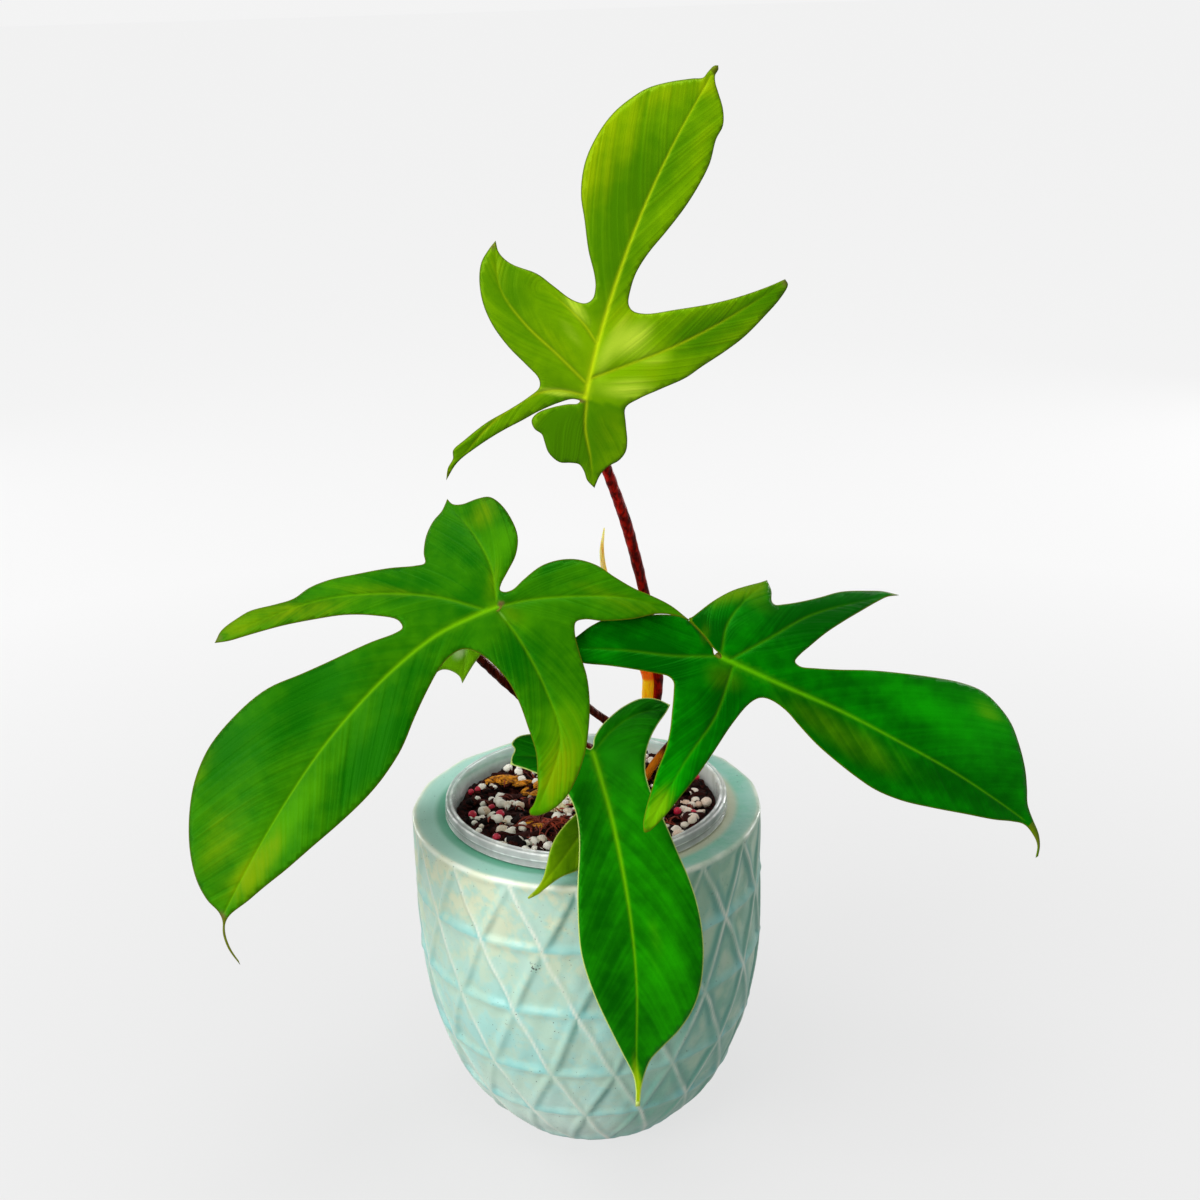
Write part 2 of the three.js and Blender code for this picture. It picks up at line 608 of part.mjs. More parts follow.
// Front leaf: small and narrow, it arches over the rim and hangs in front of the pot
const frontLeaf = {
  joint: [3.8, -50.3, 182.6],
  along: [0.085, -0.725, -0.684],
  faces: [0, -0.686, 0.728],
  spread: 3,
  wave: 0.4,
  phase: 0.9,
  bends: [
    { turn: 0, reach: 125, drop: 56 }, { turn: -150, reach: 45, drop: 4 }, { turn: 150, reach: 40, drop: 4 },
  ],
  veins: [
    [[0, 0], [-2, 12], [-4, 25], [-6, 45], [-7, 65], [-6.5, 85], [-4, 105], [-2.5, 120]],
    [[-1, -1], [-8, -8], [-18, -14], [-30, -16]],
    [[2, 0], [12, 0], [30, -3]],
  ],
  margins: [
    [[-1.6, 122.3], [-2.3, 117], [-1.9, 112.5], [1, 106], [5, 97], [9, 87], [11.6, 78], [12.8, 70],
      [12.3, 58], [11, 47], [9.5, 38], [8.7, 30], [9, 23], [11, 16], [15, 10.5], [20, 7], [26, 3.2], [31.7, 0.2]],
    [[31.7, 0.2], [30.8, -3], [29.5, -5.5], [30.5, -8], [28, -10.3], [22, -10.6], [14, -8.5], [7, -5.3],
      [3, -2.8], [0.9, -1.4], [-0.3, -2.5], [-1, -5.5], [-4, -10], [-8.5, -14.2], [-14, -18], [-21, -20.7],
      [-27, -20], [-32, -17.2]],
    [[-32, -17.2], [-30, -14], [-26, -9], [-22.3, -3], [-19.7, 4], [-18.9, 11], [-20, 18], [-22, 24], [-25, 33],
      [-27.5, 41], [-30.5, 50], [-32.5, 59], [-33.2, 68], [-32.6, 77], [-30.5, 86], [-27, 93], [-21, 99.5],
      [-14, 104.5], [-9, 108.3], [-6.3, 112.5], [-4.5, 117], [-3.3, 122.3]],
    [[-3.3, 122.3], [-1.6, 122.3]],
  ],
};

// The front leaf's third lobe is tucked under the blade and comes out at its left
const tuckedLobe = {
  joint: [3, -60, 169.4],
  along: [-0.545, -0.467, -0.696],
  faces: [0.21, -0.88, 0.43],
  spread: 3,
  wave: 0,
  phase: 0,
  bends: [{ turn: 0, reach: 40, drop: 0 }],
  veins: [[[-3, -2], [-4, 12], [-3, 28], [-0.5, 44]]],
  margins: [
    [[0.6, 45], [-0.6, 40], [-0.5, 36], [1, 31], [2.7, 26], [3.5, 21], [3, 15], [1.6, 9], [1, 3], [1, -5],
      [1.4, -13.4]],
    [[1.4, -13.4], [-2, -14], [-4, -6], [-6, 1], [-9, 8], [-12, 16], [-12.5, 22], [-10, 27], [-6.3, 32], [-4, 37], [-2.2, 42], [0, 45.4]],
    [[0, 45.4], [0.6, 45]],
  ],
};

// Back leaf: small, behind the left leaf, with short side lobes
const backLeaf = {
  joint: [-45, -10, 216],
  along: [-0.7, -0.36, -0.615],
  faces: [-0.1, -0.85, 0.5],
  spread: 5,
  wave: 0.4,
  phase: 2.2,
  bends: [
    { turn: 0, reach: 80, drop: 8 }, { turn: 60, reach: 30, drop: 2 }, { turn: -60, reach: 30, drop: 2 },
    { turn: 130, reach: 35, drop: 4 }, { turn: -130, reach: 35, drop: 4 },
  ],
  veins: [
    [[0, 0], [3, 20], [4.5, 45], [2.5, 80]],
    [[2, 3], [10, 8], [19, 12]],
    [[1, -2], [5, -12], [8, -24]],
    [[-1, -1], [-7, -8], [-14, -15]],
    [[-1, 2], [-6, 7], [-11, 14]],
  ],
  margins: [
    [[2, 82], [5, 75], [11, 66], [16, 55], [18.5, 43], [17, 31], [12, 20], [9.8, 14.5], [11, 12], [15, 12.5],
      [20, 13]],
    [[20, 13], [18, 8], [14, 2], [11.5, -3], [13, -9], [14, -16], [11, -22], [8, -25]],
    [[8, -25], [4, -24.8], [0.5, -23], [-1.5, -17], [-1.3, -10], [-0.8, -4], [-2.4, -3.6], [-4, -8],
      [-7, -14], [-11, -17], [-15, -16]],
    [[-15, -16], [-14, -11], [-11, -6], [-9.3, -1], [-9.5, 4], [-10.5, 10], [-11.6, 14.6]],
    [[-11.6, 14.6], [-9, 13.4], [-5, 14], [-2, 16], [-1, 19], [-1.5, 25], [-4, 33], [-8, 45], [-10, 55],
      [-8, 66], [-3, 75], [2, 82]],
  ],
};

// Stem, petioles and the sheath of the next leaf

function stemSolid(extra) {
  const [footX, footY, footZ] = STEM_FOOT;
  const [topX, topY, topZ] = STEM_TOP;
  const points = [[footX, footY, footZ - extra], [28.3, 21.5, 125], [28.4, 20.5, 150], [topX, topY, topZ + extra]];
  const radii = [STEM_RADIUS - 0.8, STEM_RADIUS, STEM_RADIUS - 0.4, STEM_RADIUS - 1.6].map((r) => r + extra);
  return solidOf(taperedBar(points, radii, 12, 8));
}

const PETIOLES = {
  top: {
    leaf: topLeaf,
    radii: [2.4, 2, 1.8, 1.8, 1.9, 1.9, 1.9, 2, 2.2],
    points: [[29, 18, 167], [31.6, 14.7, 176], [31.9, 13, 183], [31.7, 11.5, 190], [30.2, 8, 205.4],
      [25.7, 2, 230], [19.5, -9, 260], [12.4, -22, 286], [8, -33.5, 306], [5.1, -42, 318.6]],
  },
  left: {
    leaf: leftLeaf,
    radii: [2.4, 1.8, 1.6, 1.6, 1.7, 1.8, 2],
    points: [[28, 19, 151], [18, 8.5, 162], [9.4, -0.5, 173.8], [5, -3.4, 178.8], [-8.5, -20, 199],
      [-20.8, -36, 220], [-27.2, -47, 237], [-30.4, -53.5, 245]],
  },
  right: {
    leaf: rightLeaf,
    radii: [2.6, 2.3, 2, 1.8, 1.8, 2, 2.1],
    points: [[28.5, 19, 149], [31, 9, 155], [34.8, 0, 163.5], [42.6, -20, 188], [48.5, -40, 209], [52.8, -57.5, 224]],
  },
  front: {
    leaf: frontLeaf,
    radii: [2.5, 2.1, 1.8, 1.7, 1.8, 1.9],
    points: [[28, 20, 140], [21, 8, 144.5], [13, -4, 152], [8, -22, 164.5], [4.9, -38, 175.5], [3.7, -51.5, 183.8]],
  },
  back: {
    leaf: backLeaf,
    radii: [2.5, 2.2, 1.9, 1.8, 1.8, 1.9, 2],
    points: [[28, 21, 146], [15, 17, 149.5], [2.2, 12, 156], [-8, 8, 165], [-17.8, 4, 176.4], [-27, 0, 187.6],
      [-36.1, -3, 198.8], [-42, -5.6, 207], [-45.8, -11, 217.6]],
  },
};

function petioleBar({ points, radii }, extra) {
  return solidOf(taperedBar(points, radii.map((r) => r + extra), 8, 14));
}

// A petiole ends flat, just under the joint of its blade
function petioleSolid(petiole, standing) {
  const { joint, along, right, up } = bladeFrame(petiole.leaf);
  const clearance = BLADE_THICKNESS / 2 + GAP;
  const block = new THREE.BoxGeometry(9, 9, 12);
  block.applyMatrix4(new THREE.Matrix4().makeBasis(right, along, up));
  const centre = joint.clone().addScaledVector(up, 6 - clearance);
  block.translate(centre.x, centre.y, centre.z);
  const blade = bladeSolid(petiole.leaf, 2 * clearance);
  return largestPiece(petioleBar(petiole, 0).subtract(standing).subtract(solidOf(block)).subtract(blade));
}

// The sheath clasps the top petiole near the stem and runs out in a dry spear
function sheathSolid(standing) {
  const points = [[28, 18, 160], [27.4, 16.5, 175.4], [27.4, 15, 182.4], [26.4, 13.5, 189.3], [22.5, 10.5, 202.5],
    [17, 7, 218.4], [12.6, 4, 234.9], [10.6, 2, 245.7], [11.4, 0, 256.4]];
  const bar = solidOf(taperedBar(points, [3.2, 2.8, 2.5, 2.3, 1.9, 1.4, 1, 0.4], 8, 16));
  return largestPiece(bar.subtract(petioleBar(PETIOLES.top, GAP)).subtract(standing));
}

// Dried husk: a thin arched scrap of an old sheath that lies on the mix
function huskSolid(mix) {
  const outline = [[0, -12], [4, -8], [5, 0], [4.5, 8], [1, 13], [-3, 11], [-5, 3], [-4.5, -6]];
  const shape = new THREE.Shape(outline.map(([x, y]) => new THREE.Vector2(x, y)));
  const sheet = new THREE.ExtrudeGeometry(shape, { depth: 3.2, bevelEnabled: false });
  sheet.rotateZ(-0.5);
  sheet.translate(-9.5, 4, MIX_TOP - 1);
  return largestPiece(solidOf(sheet).subtract(moved(mix, 0, 0, GAP)));
}

// The object

const group = new THREE.Group();

function addNode(name, solid, colour, roughness) {
  const material = new THREE.MeshStandardMaterial({ color: colour, roughness, metalness: 0 });
  const mesh = new THREE.Mesh(geometryOf(solid), material);
  mesh.name = name;
  group.add(mesh);
}

const CELADON = 0xa9d3c6;
const CLEAR_PLASTIC = 0xc9cfd3;
const MIX_BROWN = 0x3a1f17;
const STEM_BROWN = 0x7a4a1e;
const PETIOLE_RED = 0x451012;
const SHEATH_YELLOW = 0xd79a2c;
const HUSK_PALE = 0xd9cf9a;

const stemClearance = stemSolid(GAP);
const mix = pottingMix(stemClearance);

addNode('outer_pot', stonewarePot(), CELADON, 0.2);
addNode('nursery_pot', nurseryPot(), CLEAR_PLASTIC, 0.25);
addNode('potting_mix', mix, MIX_BROWN, 0.95);
addNode('dried_husk', huskSolid(mix), HUSK_PALE, 0.8);
addNode('stem', stemSolid(0), STEM_BROWN, 0.6);

for (const [name, petiole] of Object.entries(PETIOLES)) {
  addNode(`petiole_${name}`, petioleSolid(petiole, stemClearance), PETIOLE_RED, 0.45);
}
addNode('sheath', sheathSolid(stemClearance), SHEATH_YELLOW, 0.5);

addNode('blade_top', bladeSolid(topLeaf, BLADE_THICKNESS), 0x6fa800, 0.35);
addNode('blade_left', bladeSolid(leftLeaf, BLADE_THICKNESS), 0x2f8a05, 0.35);
addNode('blade_right', bladeSolid(rightLeaf, BLADE_THICKNESS), 0x0b6b08, 0.35);
addNode('blade_front', bladeSolid(frontLeaf, BLADE_THICKNESS).add(bladeSolid(tuckedLobe, BLADE_THICKNESS)), 0x0c6a08, 0.35);
addNode('blade_back', bladeSolid(backLeaf, BLADE_THICKNESS), 0x3c8a14, 0.4);

export default group;
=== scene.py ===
"""A potted philodendron with deeply lobed leaves, in a clear nursery pot inside a glazed planter."""
import math
import random

import bpy
import numpy as np
from mathutils import Matrix, Vector, noise
from mathutils.geometry import delaunay_2d_cdt


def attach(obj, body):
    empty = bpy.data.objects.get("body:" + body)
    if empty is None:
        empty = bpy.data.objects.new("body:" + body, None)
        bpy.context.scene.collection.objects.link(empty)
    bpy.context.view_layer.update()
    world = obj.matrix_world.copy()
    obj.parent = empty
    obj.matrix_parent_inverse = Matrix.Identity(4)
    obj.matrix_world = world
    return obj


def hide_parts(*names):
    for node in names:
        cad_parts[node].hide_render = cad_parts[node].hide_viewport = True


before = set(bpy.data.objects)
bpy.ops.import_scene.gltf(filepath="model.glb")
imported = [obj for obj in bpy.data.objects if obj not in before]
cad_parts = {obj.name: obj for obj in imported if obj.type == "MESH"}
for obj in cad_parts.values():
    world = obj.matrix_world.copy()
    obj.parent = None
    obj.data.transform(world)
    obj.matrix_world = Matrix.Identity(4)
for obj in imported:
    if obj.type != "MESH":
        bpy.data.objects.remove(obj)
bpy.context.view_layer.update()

# Camera
# A 51 mm lens on a 36 mm square frame, a little above the top leaf and 0.64 m in front of the pot.
CAMERA_PLACE = Vector((0.00827, -0.6413, 0.4515))
CAMERA_DOWN = math.radians(19.35)
CAMERA_ROLL = math.radians(-1.745)
CAMERA_LENS = 51
CAMERA_SENSOR = 36

scene = bpy.context.scene
camera = bpy.data.objects.new("camera", bpy.data.cameras.new("camera"))
camera.data.sensor_width = CAMERA_SENSOR
camera.data.lens = CAMERA_LENS
camera.matrix_world = (
    Matrix.Translation(CAMERA_PLACE)
    @ Matrix.Rotation(math.pi / 2 - CAMERA_DOWN, 4, "X")
    @ Matrix.Rotation(CAMERA_ROLL, 4, "Z")
)
scene.collection.objects.link(camera)
scene.camera = camera

# Studio
# A pale lit floor that runs to the horizon under a dimmer sky, a large soft light from the front left,
# a weaker one overhead and a narrow one behind at either side. Near the horizon the sky is as pale as
# the floor, so that no edge shows.
FLOOR_REACH = 150
FLOOR_COLOUR = (0.08, 0.08, 0.08, 1)
FLOOR_ROUGHNESS = 0.9
FLOOR_FADE = (0.1, 0.8)
FLOOR_GLOW_NEAR = 0.72
FLOOR_GLOW_FAR = 0.855
FLOOR_GLOW_CAST = 0.38
HORIZON_FADE = (0.03, 0.12)
HORIZON_STRENGTH = 0.9
SKY_STRENGTH = 0.34
WHITE = (1, 1, 1, 1)
# Each lamp's place in metres, its power in watts, and its width and height.
LAMPS = {
    "key light": (Vector((-1.35, -1.2, 1.0)), 34, (1.3, 1.3)),
    "top light": (Vector((-0.1, -0.35, 1.5)), 12, (0.7, 0.7)),
    "strip light": (Vector((0.98, 1.1, 0.45)), 8, (0.14, 0.9)),
    "left strip light": (Vector((-1.05, 1.0, 0.4)), 6, (0.14, 0.9)),
}
AIM = Vector((0, 0, 0.2))


def plug(tree, value, socket):
    if isinstance(value, bpy.types.NodeSocket):
        tree.links.new(value, socket)
    else:
        socket.default_value = value


def ramp(tree, value, low, high, to_low=0.0, to_high=1.0, shape="SMOOTHSTEP"):
    node = tree.nodes.new("ShaderNodeMapRange")
    node.interpolation_type = shape
    for socket, number in zip(node.inputs, (value, low, high, to_low, to_high)):
        plug(tree, number, socket)
    return node.outputs[0]


def new_material(name, roughness, specular=0.5):
    material = bpy.data.materials.new(name)
    material.use_nodes = True
    skin = material.node_tree.nodes["Principled BSDF"]
    skin.inputs["Roughness"].default_value = roughness
    skin.inputs["Specular IOR Level"].default_value = specular
    return material, material.node_tree, skin


scene.view_settings.view_transform = "Standard"
scene.view_settings.look = "None"

world = bpy.data.worlds.new("sky")
world.use_nodes = True
sky = world.node_tree
sky_light = sky.nodes["Background"]
sky_light.inputs["Color"].default_value = WHITE
direction = sky.nodes.new("ShaderNodeSeparateXYZ")
plug(sky, sky.nodes.new("ShaderNodeTexCoord").outputs["Generated"], direction.inputs[0])
fade = ramp(sky, direction.outputs["Z"], *HORIZON_FADE, HORIZON_STRENGTH, SKY_STRENGTH, shape="LINEAR")
plug(sky, fade, sky_light.inputs["Strength"])
scene.world = world

for name, (place, power, (wide, tall)) in LAMPS.items():
    lamp = bpy.data.objects.new(name, bpy.data.lights.new(name, "AREA"))
    lamp.data.shape = "RECTANGLE"
    lamp.data.size = wide
    lamp.data.size_y = tall
    lamp.data.energy = power
    lamp.location = place
    lamp.rotation_euler = (place - AIM).to_track_quat("Z", "Y").to_euler()
    scene.collection.objects.link(lamp)

floor_mesh = bpy.data.meshes.new("floor")
floor_corners = [(x * FLOOR_REACH, y * FLOOR_REACH, 0) for x, y in ((-1, -1), (1, -1), (1, 1), (-1, 1))]
floor_mesh.from_pydata(floor_corners, [], [(0, 1, 2, 3)])
floor = bpy.data.objects.new("floor", floor_mesh)
floor_paper, tree, skin = new_material("floor paper", FLOOR_ROUGHNESS, 0)
skin.inputs["Base Color"].default_value = FLOOR_COLOUR
skin.inputs["Emission Color"].default_value = WHITE
from_middle = tree.nodes.new("ShaderNodeVectorMath")
from_middle.operation = "LENGTH"
plug(tree, tree.nodes.new("ShaderNodeTexCoord").outputs["Object"], from_middle.inputs[0])
glow = ramp(tree, from_middle.outputs["Value"], *FLOOR_FADE, FLOOR_GLOW_NEAR, FLOOR_GLOW_FAR, shape="LINEAR")
seen = tree.nodes.new("ShaderNodeLightPath").outputs["Is Camera Ray"]
glow = ramp(tree, seen, 0, 1, FLOOR_GLOW_CAST, glow, shape="LINEAR")
plug(tree, glow, skin.inputs["Emission Strength"])
floor.data.materials.append(floor_paper)
scene.collection.objects.link(floor)

# Glazed planter
# One thrown piece of stoneware, 145 mm wide, with a pressed relief of triangles and a flat rim.
# Its celadon glaze breaks cream on the ridges and pools turquoise at the foot of each triangle.
# Its colour also holds painted light: shade on its right side, beside the rising ridges and in the fillet
# under the cup's lip, a paler foot at the left, a paler rim at the left and highlights in the facets on the
# right.
MM = 0.001
POT_HEIGHT = 136.6
RIM_RADIUS = 72.5
POT_FLOOR = 9
COLUMNS = 17
RELIEF_TURN = math.radians(-3.9)
RELIEF_RINGS = [0, 26, 50, 80, 108.5, 135.8]
WALL_HEIGHTS = [0, 16.4, 41, 68.3, 95.6, 120.2, POT_HEIGHT]
WALL_RADII = [41, 55.1, 65.5, 71.3, 72.6, 72.5, RIM_RADIUS]
RIDGE_WIDTH = 2.8
RIDGE_LINE = 0.7
DISH_DEPTH = 0.6
DISH_AT_BASE = 0.9
HOLLOW_DEPTH = 0.8
GRID_ROUND = COLUMNS * 28
GRID_ROWS = 24
CELADON = (0.35, 0.62, 0.52, 1)
CELADON_GREY = (0.46, 0.66, 0.55, 1)
AQUA = (0.38, 0.67, 0.60, 1)
BEIGE = (0.62, 0.68, 0.48, 1)
# The next colour is painted shade for the planter's right side.
PAINTED_SHADE_CELADON = (0.13, 0.39, 0.28, 1)
# The next colour is partly painted highlight for the facets on the right.
FACET_BEIGE_HIGHLIGHT = (0.42, 0.58, 0.42, 1)
# The next colour is painted shade beside the ridges.
SHADE_TEAL = (0.10, 0.31, 0.24, 1)
POOL = (0.25, 0.57, 0.54, 1)
# The next colour is painted light for the lower wall.
FOOT_PAINTED_LIGHT = (0.66, 0.82, 0.72, 1)
CREAM = (0.82, 0.84, 0.72, 1)
RIM_GLAZE = (0.21, 0.52, 0.39, 1)
RIM_BLUE = (0.28, 0.55, 0.46, 1)
# The next colour is painted light for the rim at the left.
RIM_PAINTED_LIGHT = (0.35, 0.62, 0.52, 1)
FILLET_BEIGE = (0.50, 0.52, 0.38, 1)
# The next colour is partly painted shade under the cup's lip.
FILLET_POOL_AND_SHADE = (0.09, 0.36, 0.23, 1)
SPECK_DARK = (0.05, 0.06, 0.05, 1)
SPECK_CLUSTER = (-21.0, -68.7, 101.0)
GLAZE_ROUGHNESS = 0.3
# Radius and height, then how worn thin, how much of the rim's glaze and how much of the fillet's.
RIM_PROFILE = [
    (72.5, 136.0, 0.8, 0, 0), (72.35, 136.6, 1.0, 0, 0), (71.9, 137.0, 1.0, 0, 0),
    (71.2, 137.15, 0.8, 0.4, 0), (70.4, 137.05, 0.3, 0.8, 0), (69, 136.8, 0.1, 1, 0),
    (66, 136.6, 0, 1, 0), (64, 136.5, 0, 1, 0), (63, 136.45, 0, 1, 0.25), (61.6, 136.3, 0, 1, 0.85),
    (59.6, 136.2, 0, 1, 1), (58, 136.15, 0, 1, 1), (57.3, 135.9, 0, 1, 1), (57.1, 134.8, 0, 1, 1),
    (58.5, 131, 0, 1, 1), (63, 115, 0, 1, 0), (63.5, 80, 0, 1, 0), (57, 40, 0, 1, 0), (48, 13, 0, 1, 0),
    (44.5, POT_FLOOR, 0, 1, 0), (0.01, POT_FLOOR, 0, 1, 0),
]


def make_piece(name, points, faces):
    """A smooth-shaded mesh from points in millimetres, riding on the object's one body."""
    mesh = bpy.data.meshes.new(name)
    mesh.from_pydata([tuple(p) for p in np.asarray(points) * MM], [], [tuple(f) for f in faces])
    mesh.polygons.foreach_set("use_smooth", [True] * len(mesh.polygons))
    piece = bpy.data.objects.new(name, mesh)
    scene.collection.objects.link(piece)
    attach(piece, "root")
    return piece


def store(piece, name, values):
    """Keeps one number for each point of the piece, for its material to read."""
    layer = piece.data.attributes.new(name, "FLOAT", "POINT")
    layer.data.foreach_set("value", np.asarray(values, np.float32))


def smooth_step(low, high, values):
    t = np.clip((values - low) / (high - low), 0, 1)
    return t * t * (3 - 2 * t)


def stored(tree, name):
    node = tree.nodes.new("ShaderNodeAttribute")
    node.attribute_name = name
    return node.outputs["Fac"]


def math_of(tree, operation, a, b):
    node = tree.nodes.new("ShaderNodeMath")
    node.operation = operation
    plug(tree, a, node.inputs[0])
    plug(tree, b, node.inputs[1])
    return node.outputs[0]


def times(tree, a, b):
    return math_of(tree, "MULTIPLY", a, b)


def plus(tree, a, b):
    return math_of(tree, "ADD", a, b)


def mix_colours(tree, share, first, second, mode="MIX"):
    node = tree.nodes.new("ShaderNodeMix")
    node.data_type = "RGBA"
    node.blend_type = mode
    plug(tree, share, node.inputs[0])
    plug(tree, first, node.inputs[6])
    plug(tree, second, node.inputs[7])
    return node.outputs[2]


def place_on_object(tree, stretch=(1, 1, 1)):
    """The place on the object in millimetres, stretched along its axes."""
    where = tree.nodes.new("ShaderNodeTexCoord")
    scale = tree.nodes.new("ShaderNodeMapping")
    tree.links.new(where.outputs["Object"], scale.inputs["Vector"])
    scale.inputs["Scale"].default_value = [s / MM for s in stretch]
    return scale.outputs[0]


def place_axes(tree):
    """The place on the object in millimetres, as outputs X, Y and Z."""
    node = tree.nodes.new("ShaderNodeSeparateXYZ")
    plug(tree, place_on_object(tree), node.inputs[0])
    return node.outputs


def clouds(tree, place, scale, detail=2.0):
    node = tree.nodes.new("ShaderNodeTexNoise")
    plug(tree, place, node.inputs["Vector"])
    node.inputs["Scale"].default_value = scale
    node.inputs["Detail"].default_value = detail
    return node.outputs["Fac"]


def add_bump(tree, skin, height, distance):
    """Relief in the shading only: distance is the height in millimetres that 1 stands for."""
    node = tree.nodes.new("ShaderNodeBump")
    node.inputs["Strength"].default_value = 1
    node.inputs["Distance"].default_value = distance * MM
    plug(tree, height, node.inputs["Height"])
    tree.links.new(node.outputs[0], skin.inputs["Normal"])


def wall_radius(z):
    """The planter's outer radius at a height, on a smooth curve through its measured radii."""
    heights = np.array(WALL_HEIGHTS)
    radii = np.array(WALL_RADII)
    ends = np.r_[0, np.arange(len(radii)), len(radii) - 1]
    slopes = (radii[ends[2:]] - radii[ends[:-2]]) / (heights[ends[2:]] - heights[ends[:-2]])
    k = np.clip(np.searchsorted(heights, z, side="right") - 1, 0, len(radii) - 2)
    span = heights[k + 1] - heights[k]
    t = (z - heights[k]) / span
    s = 1 - t
    start = radii[k] * (1 + 2 * t) * s * s + slopes[k] * span * t * s * s
    return start + radii[k + 1] * (3 - 2 * t) * t * t - slopes[k + 1] * span * t * t * s


def ring_round(radius, z):
    return np.stack([radius * np.sin(around), -radius * np.cos(around), np.broadcast_to(z, around.shape)], -1)


def grid_faces(rows, columns, first=0):
    faces = []
    for r in range(rows - 1):
        for c in range(columns):
            a = first + r * columns + c
            b = first + r * columns + (c + 1) % columns
            faces.append((a, b, b + columns, a + columns))
    return faces


def waver(turns, z, waves):
    """Hand-made unevenness that closes on itself round the pot, from (size, waves round, rise, start)."""
    return sum(w[0] * np.sin(2 * math.pi * w[1] * turns / COLUMNS + w[2] * z + w[3]) for w in waves)


def mark_ring(**marks):
    """Keeps how strongly each mark of glaze and of painted light shows on one ring of points; a mark not
    named doesn't.
    """
    for mark, rings in glaze_and_light_marks.items():
        rings.append(marks.get(mark, 0) + np.zeros_like(turns))


turns = np.arange(GRID_ROUND) * COLUMNS / GRID_ROUND
around = RELIEF_TURN + 2 * math.pi * turns / COLUMNS
pot_rings = []
glaze_and_light_marks = {mark: [] for mark in ("thin", "pool", "rim", "fillet", "shade", "open")}
last_row = len(RELIEF_RINGS) - 2
for row in range(last_row + 1):
    low, high = RELIEF_RINGS[row], RELIEF_RINGS[row + 1]
    shift = 0.0 if (last_row - row) % 2 == 0 else 0.5
    for step in range(GRID_ROWS):
        down = 1 - step / GRID_ROWS
        z = high - down * (high - low)
        drift = waver(turns, z, [(0.016, 5, 0.09, 0.4), (0.012, 19, -0.16, 1.9)])
        across = (turns + drift - shift) % 1.0
        radius = float(wall_radius(np.array(z)))
        column = 2 * math.pi * radius / COLUMNS
        lean = math.cos(math.atan2(column / 2, high - low))
        from_falling = (across - down / 2) * column * lean
        from_rising = (across - 1 + down / 2) * column * lean
        from_ridge = np.minimum(np.abs(from_falling), np.abs(from_rising))
        standing = (across < down / 2) | (across > 1 - down / 2)
        over_ring = z - low
        under_ring = high - z
        slope = smooth_step(0, RIDGE_WIDTH, from_ridge)
        press = 1 + waver(turns, z, [(0.22, 7, 0.05, 0), (0.18, 23, -0.11, 2)])
        dish = (DISH_DEPTH + DISH_AT_BASE * down**1.3) * press * slope * smooth_step(-0.3, 3.6, over_ring)
        hollow = HOLLOW_DEPTH * press * slope * smooth_step(-0.5, 3.5, under_ring)
        depth = np.where(standing, dish, hollow)
        if row == 0:
            depth = depth * smooth_step(0, 7, over_ring)
        lumps = waver(turns, z, [(0.12, 31, 0.21, 0.7), (0.10, 47, -0.27, 2.6), (0.12, 13, 0.15, 1.1)])
        pot_rings.append(ring_round(radius - depth + lumps * slope, z))
        to_right = smooth_step(15, 50, radius * np.sin(around))
        on_falling = np.exp(-((from_falling / RIDGE_LINE) ** 2))
        on_rising = np.exp(-((from_rising / RIDGE_LINE) ** 2))
        on_ridge = np.maximum(on_falling, on_rising)
        on_ring = np.exp(-((under_ring / RIDGE_LINE) ** 2)) * np.where(standing, 0.2, 0.55)
        # Painted shade: a teal streak right of each rising ridge, where its flank turns from the key light,
        # weaker on the right. On the right side the edges beside every ridge are darker, partly glaze pooled
        # there and partly painted shade.
        right_of_rising = np.exp(-(((from_rising - 1.0) / 1.7) ** 2)) * (1 - 0.7 * to_right)
        beside_ridge = np.exp(-(((from_ridge - 1.9) / 1.3) ** 2)) * to_right
        corner = np.exp(-from_ridge / 2.5) * smooth_step(0.3, 1.0, down)
        pool = np.where(standing, np.exp(-((over_ring / 3.2) ** 2)) + 0.7 * corner, 0.45 * corner)
        # Cream shows where the glaze wears thin on the ridges and the ring. On the rising ridges at the left
        # it is weak, which is painted light: there the key light lights the falling ridges and shades the
        # rising ones.
        mark_ring(
            thin=np.maximum(np.maximum(on_falling, on_rising * (0.15 + 0.7 * to_right)), on_ring),
            shade=np.maximum(right_of_rising, beside_ridge),
            open=smooth_step(2.5, 6, from_ridge) * to_right,
            pool=pool * (1 - on_ridge),
        )
sag = 1 - np.abs(2 * (turns % 1.0) - 1) ** 1.5
for radius, z, thin, rim, fillet in RIM_PROFILE:
    wobble = 0.35 * sag * smooth_step(68, 72, np.array(radius))
    pot_rings.append(ring_round(radius - wobble, z - wobble))
    mark_ring(thin=thin, rim=rim, fillet=fillet)
pot_faces = grid_faces(len(pot_rings), GRID_ROUND)
pot_points = np.vstack(pot_rings + [[[0, 0, 0]]])
foot_centre = len(pot_points) - 1
pot_faces += [(foot_centre, (c + 1) % GRID_ROUND, c) for c in range(GRID_ROUND)]
planter = make_piece("planter", pot_points, pot_faces)
for mark, rings in glaze_and_light_marks.items():
    store(planter, mark, np.append(np.concatenate(rings), 0))
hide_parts("outer_pot")

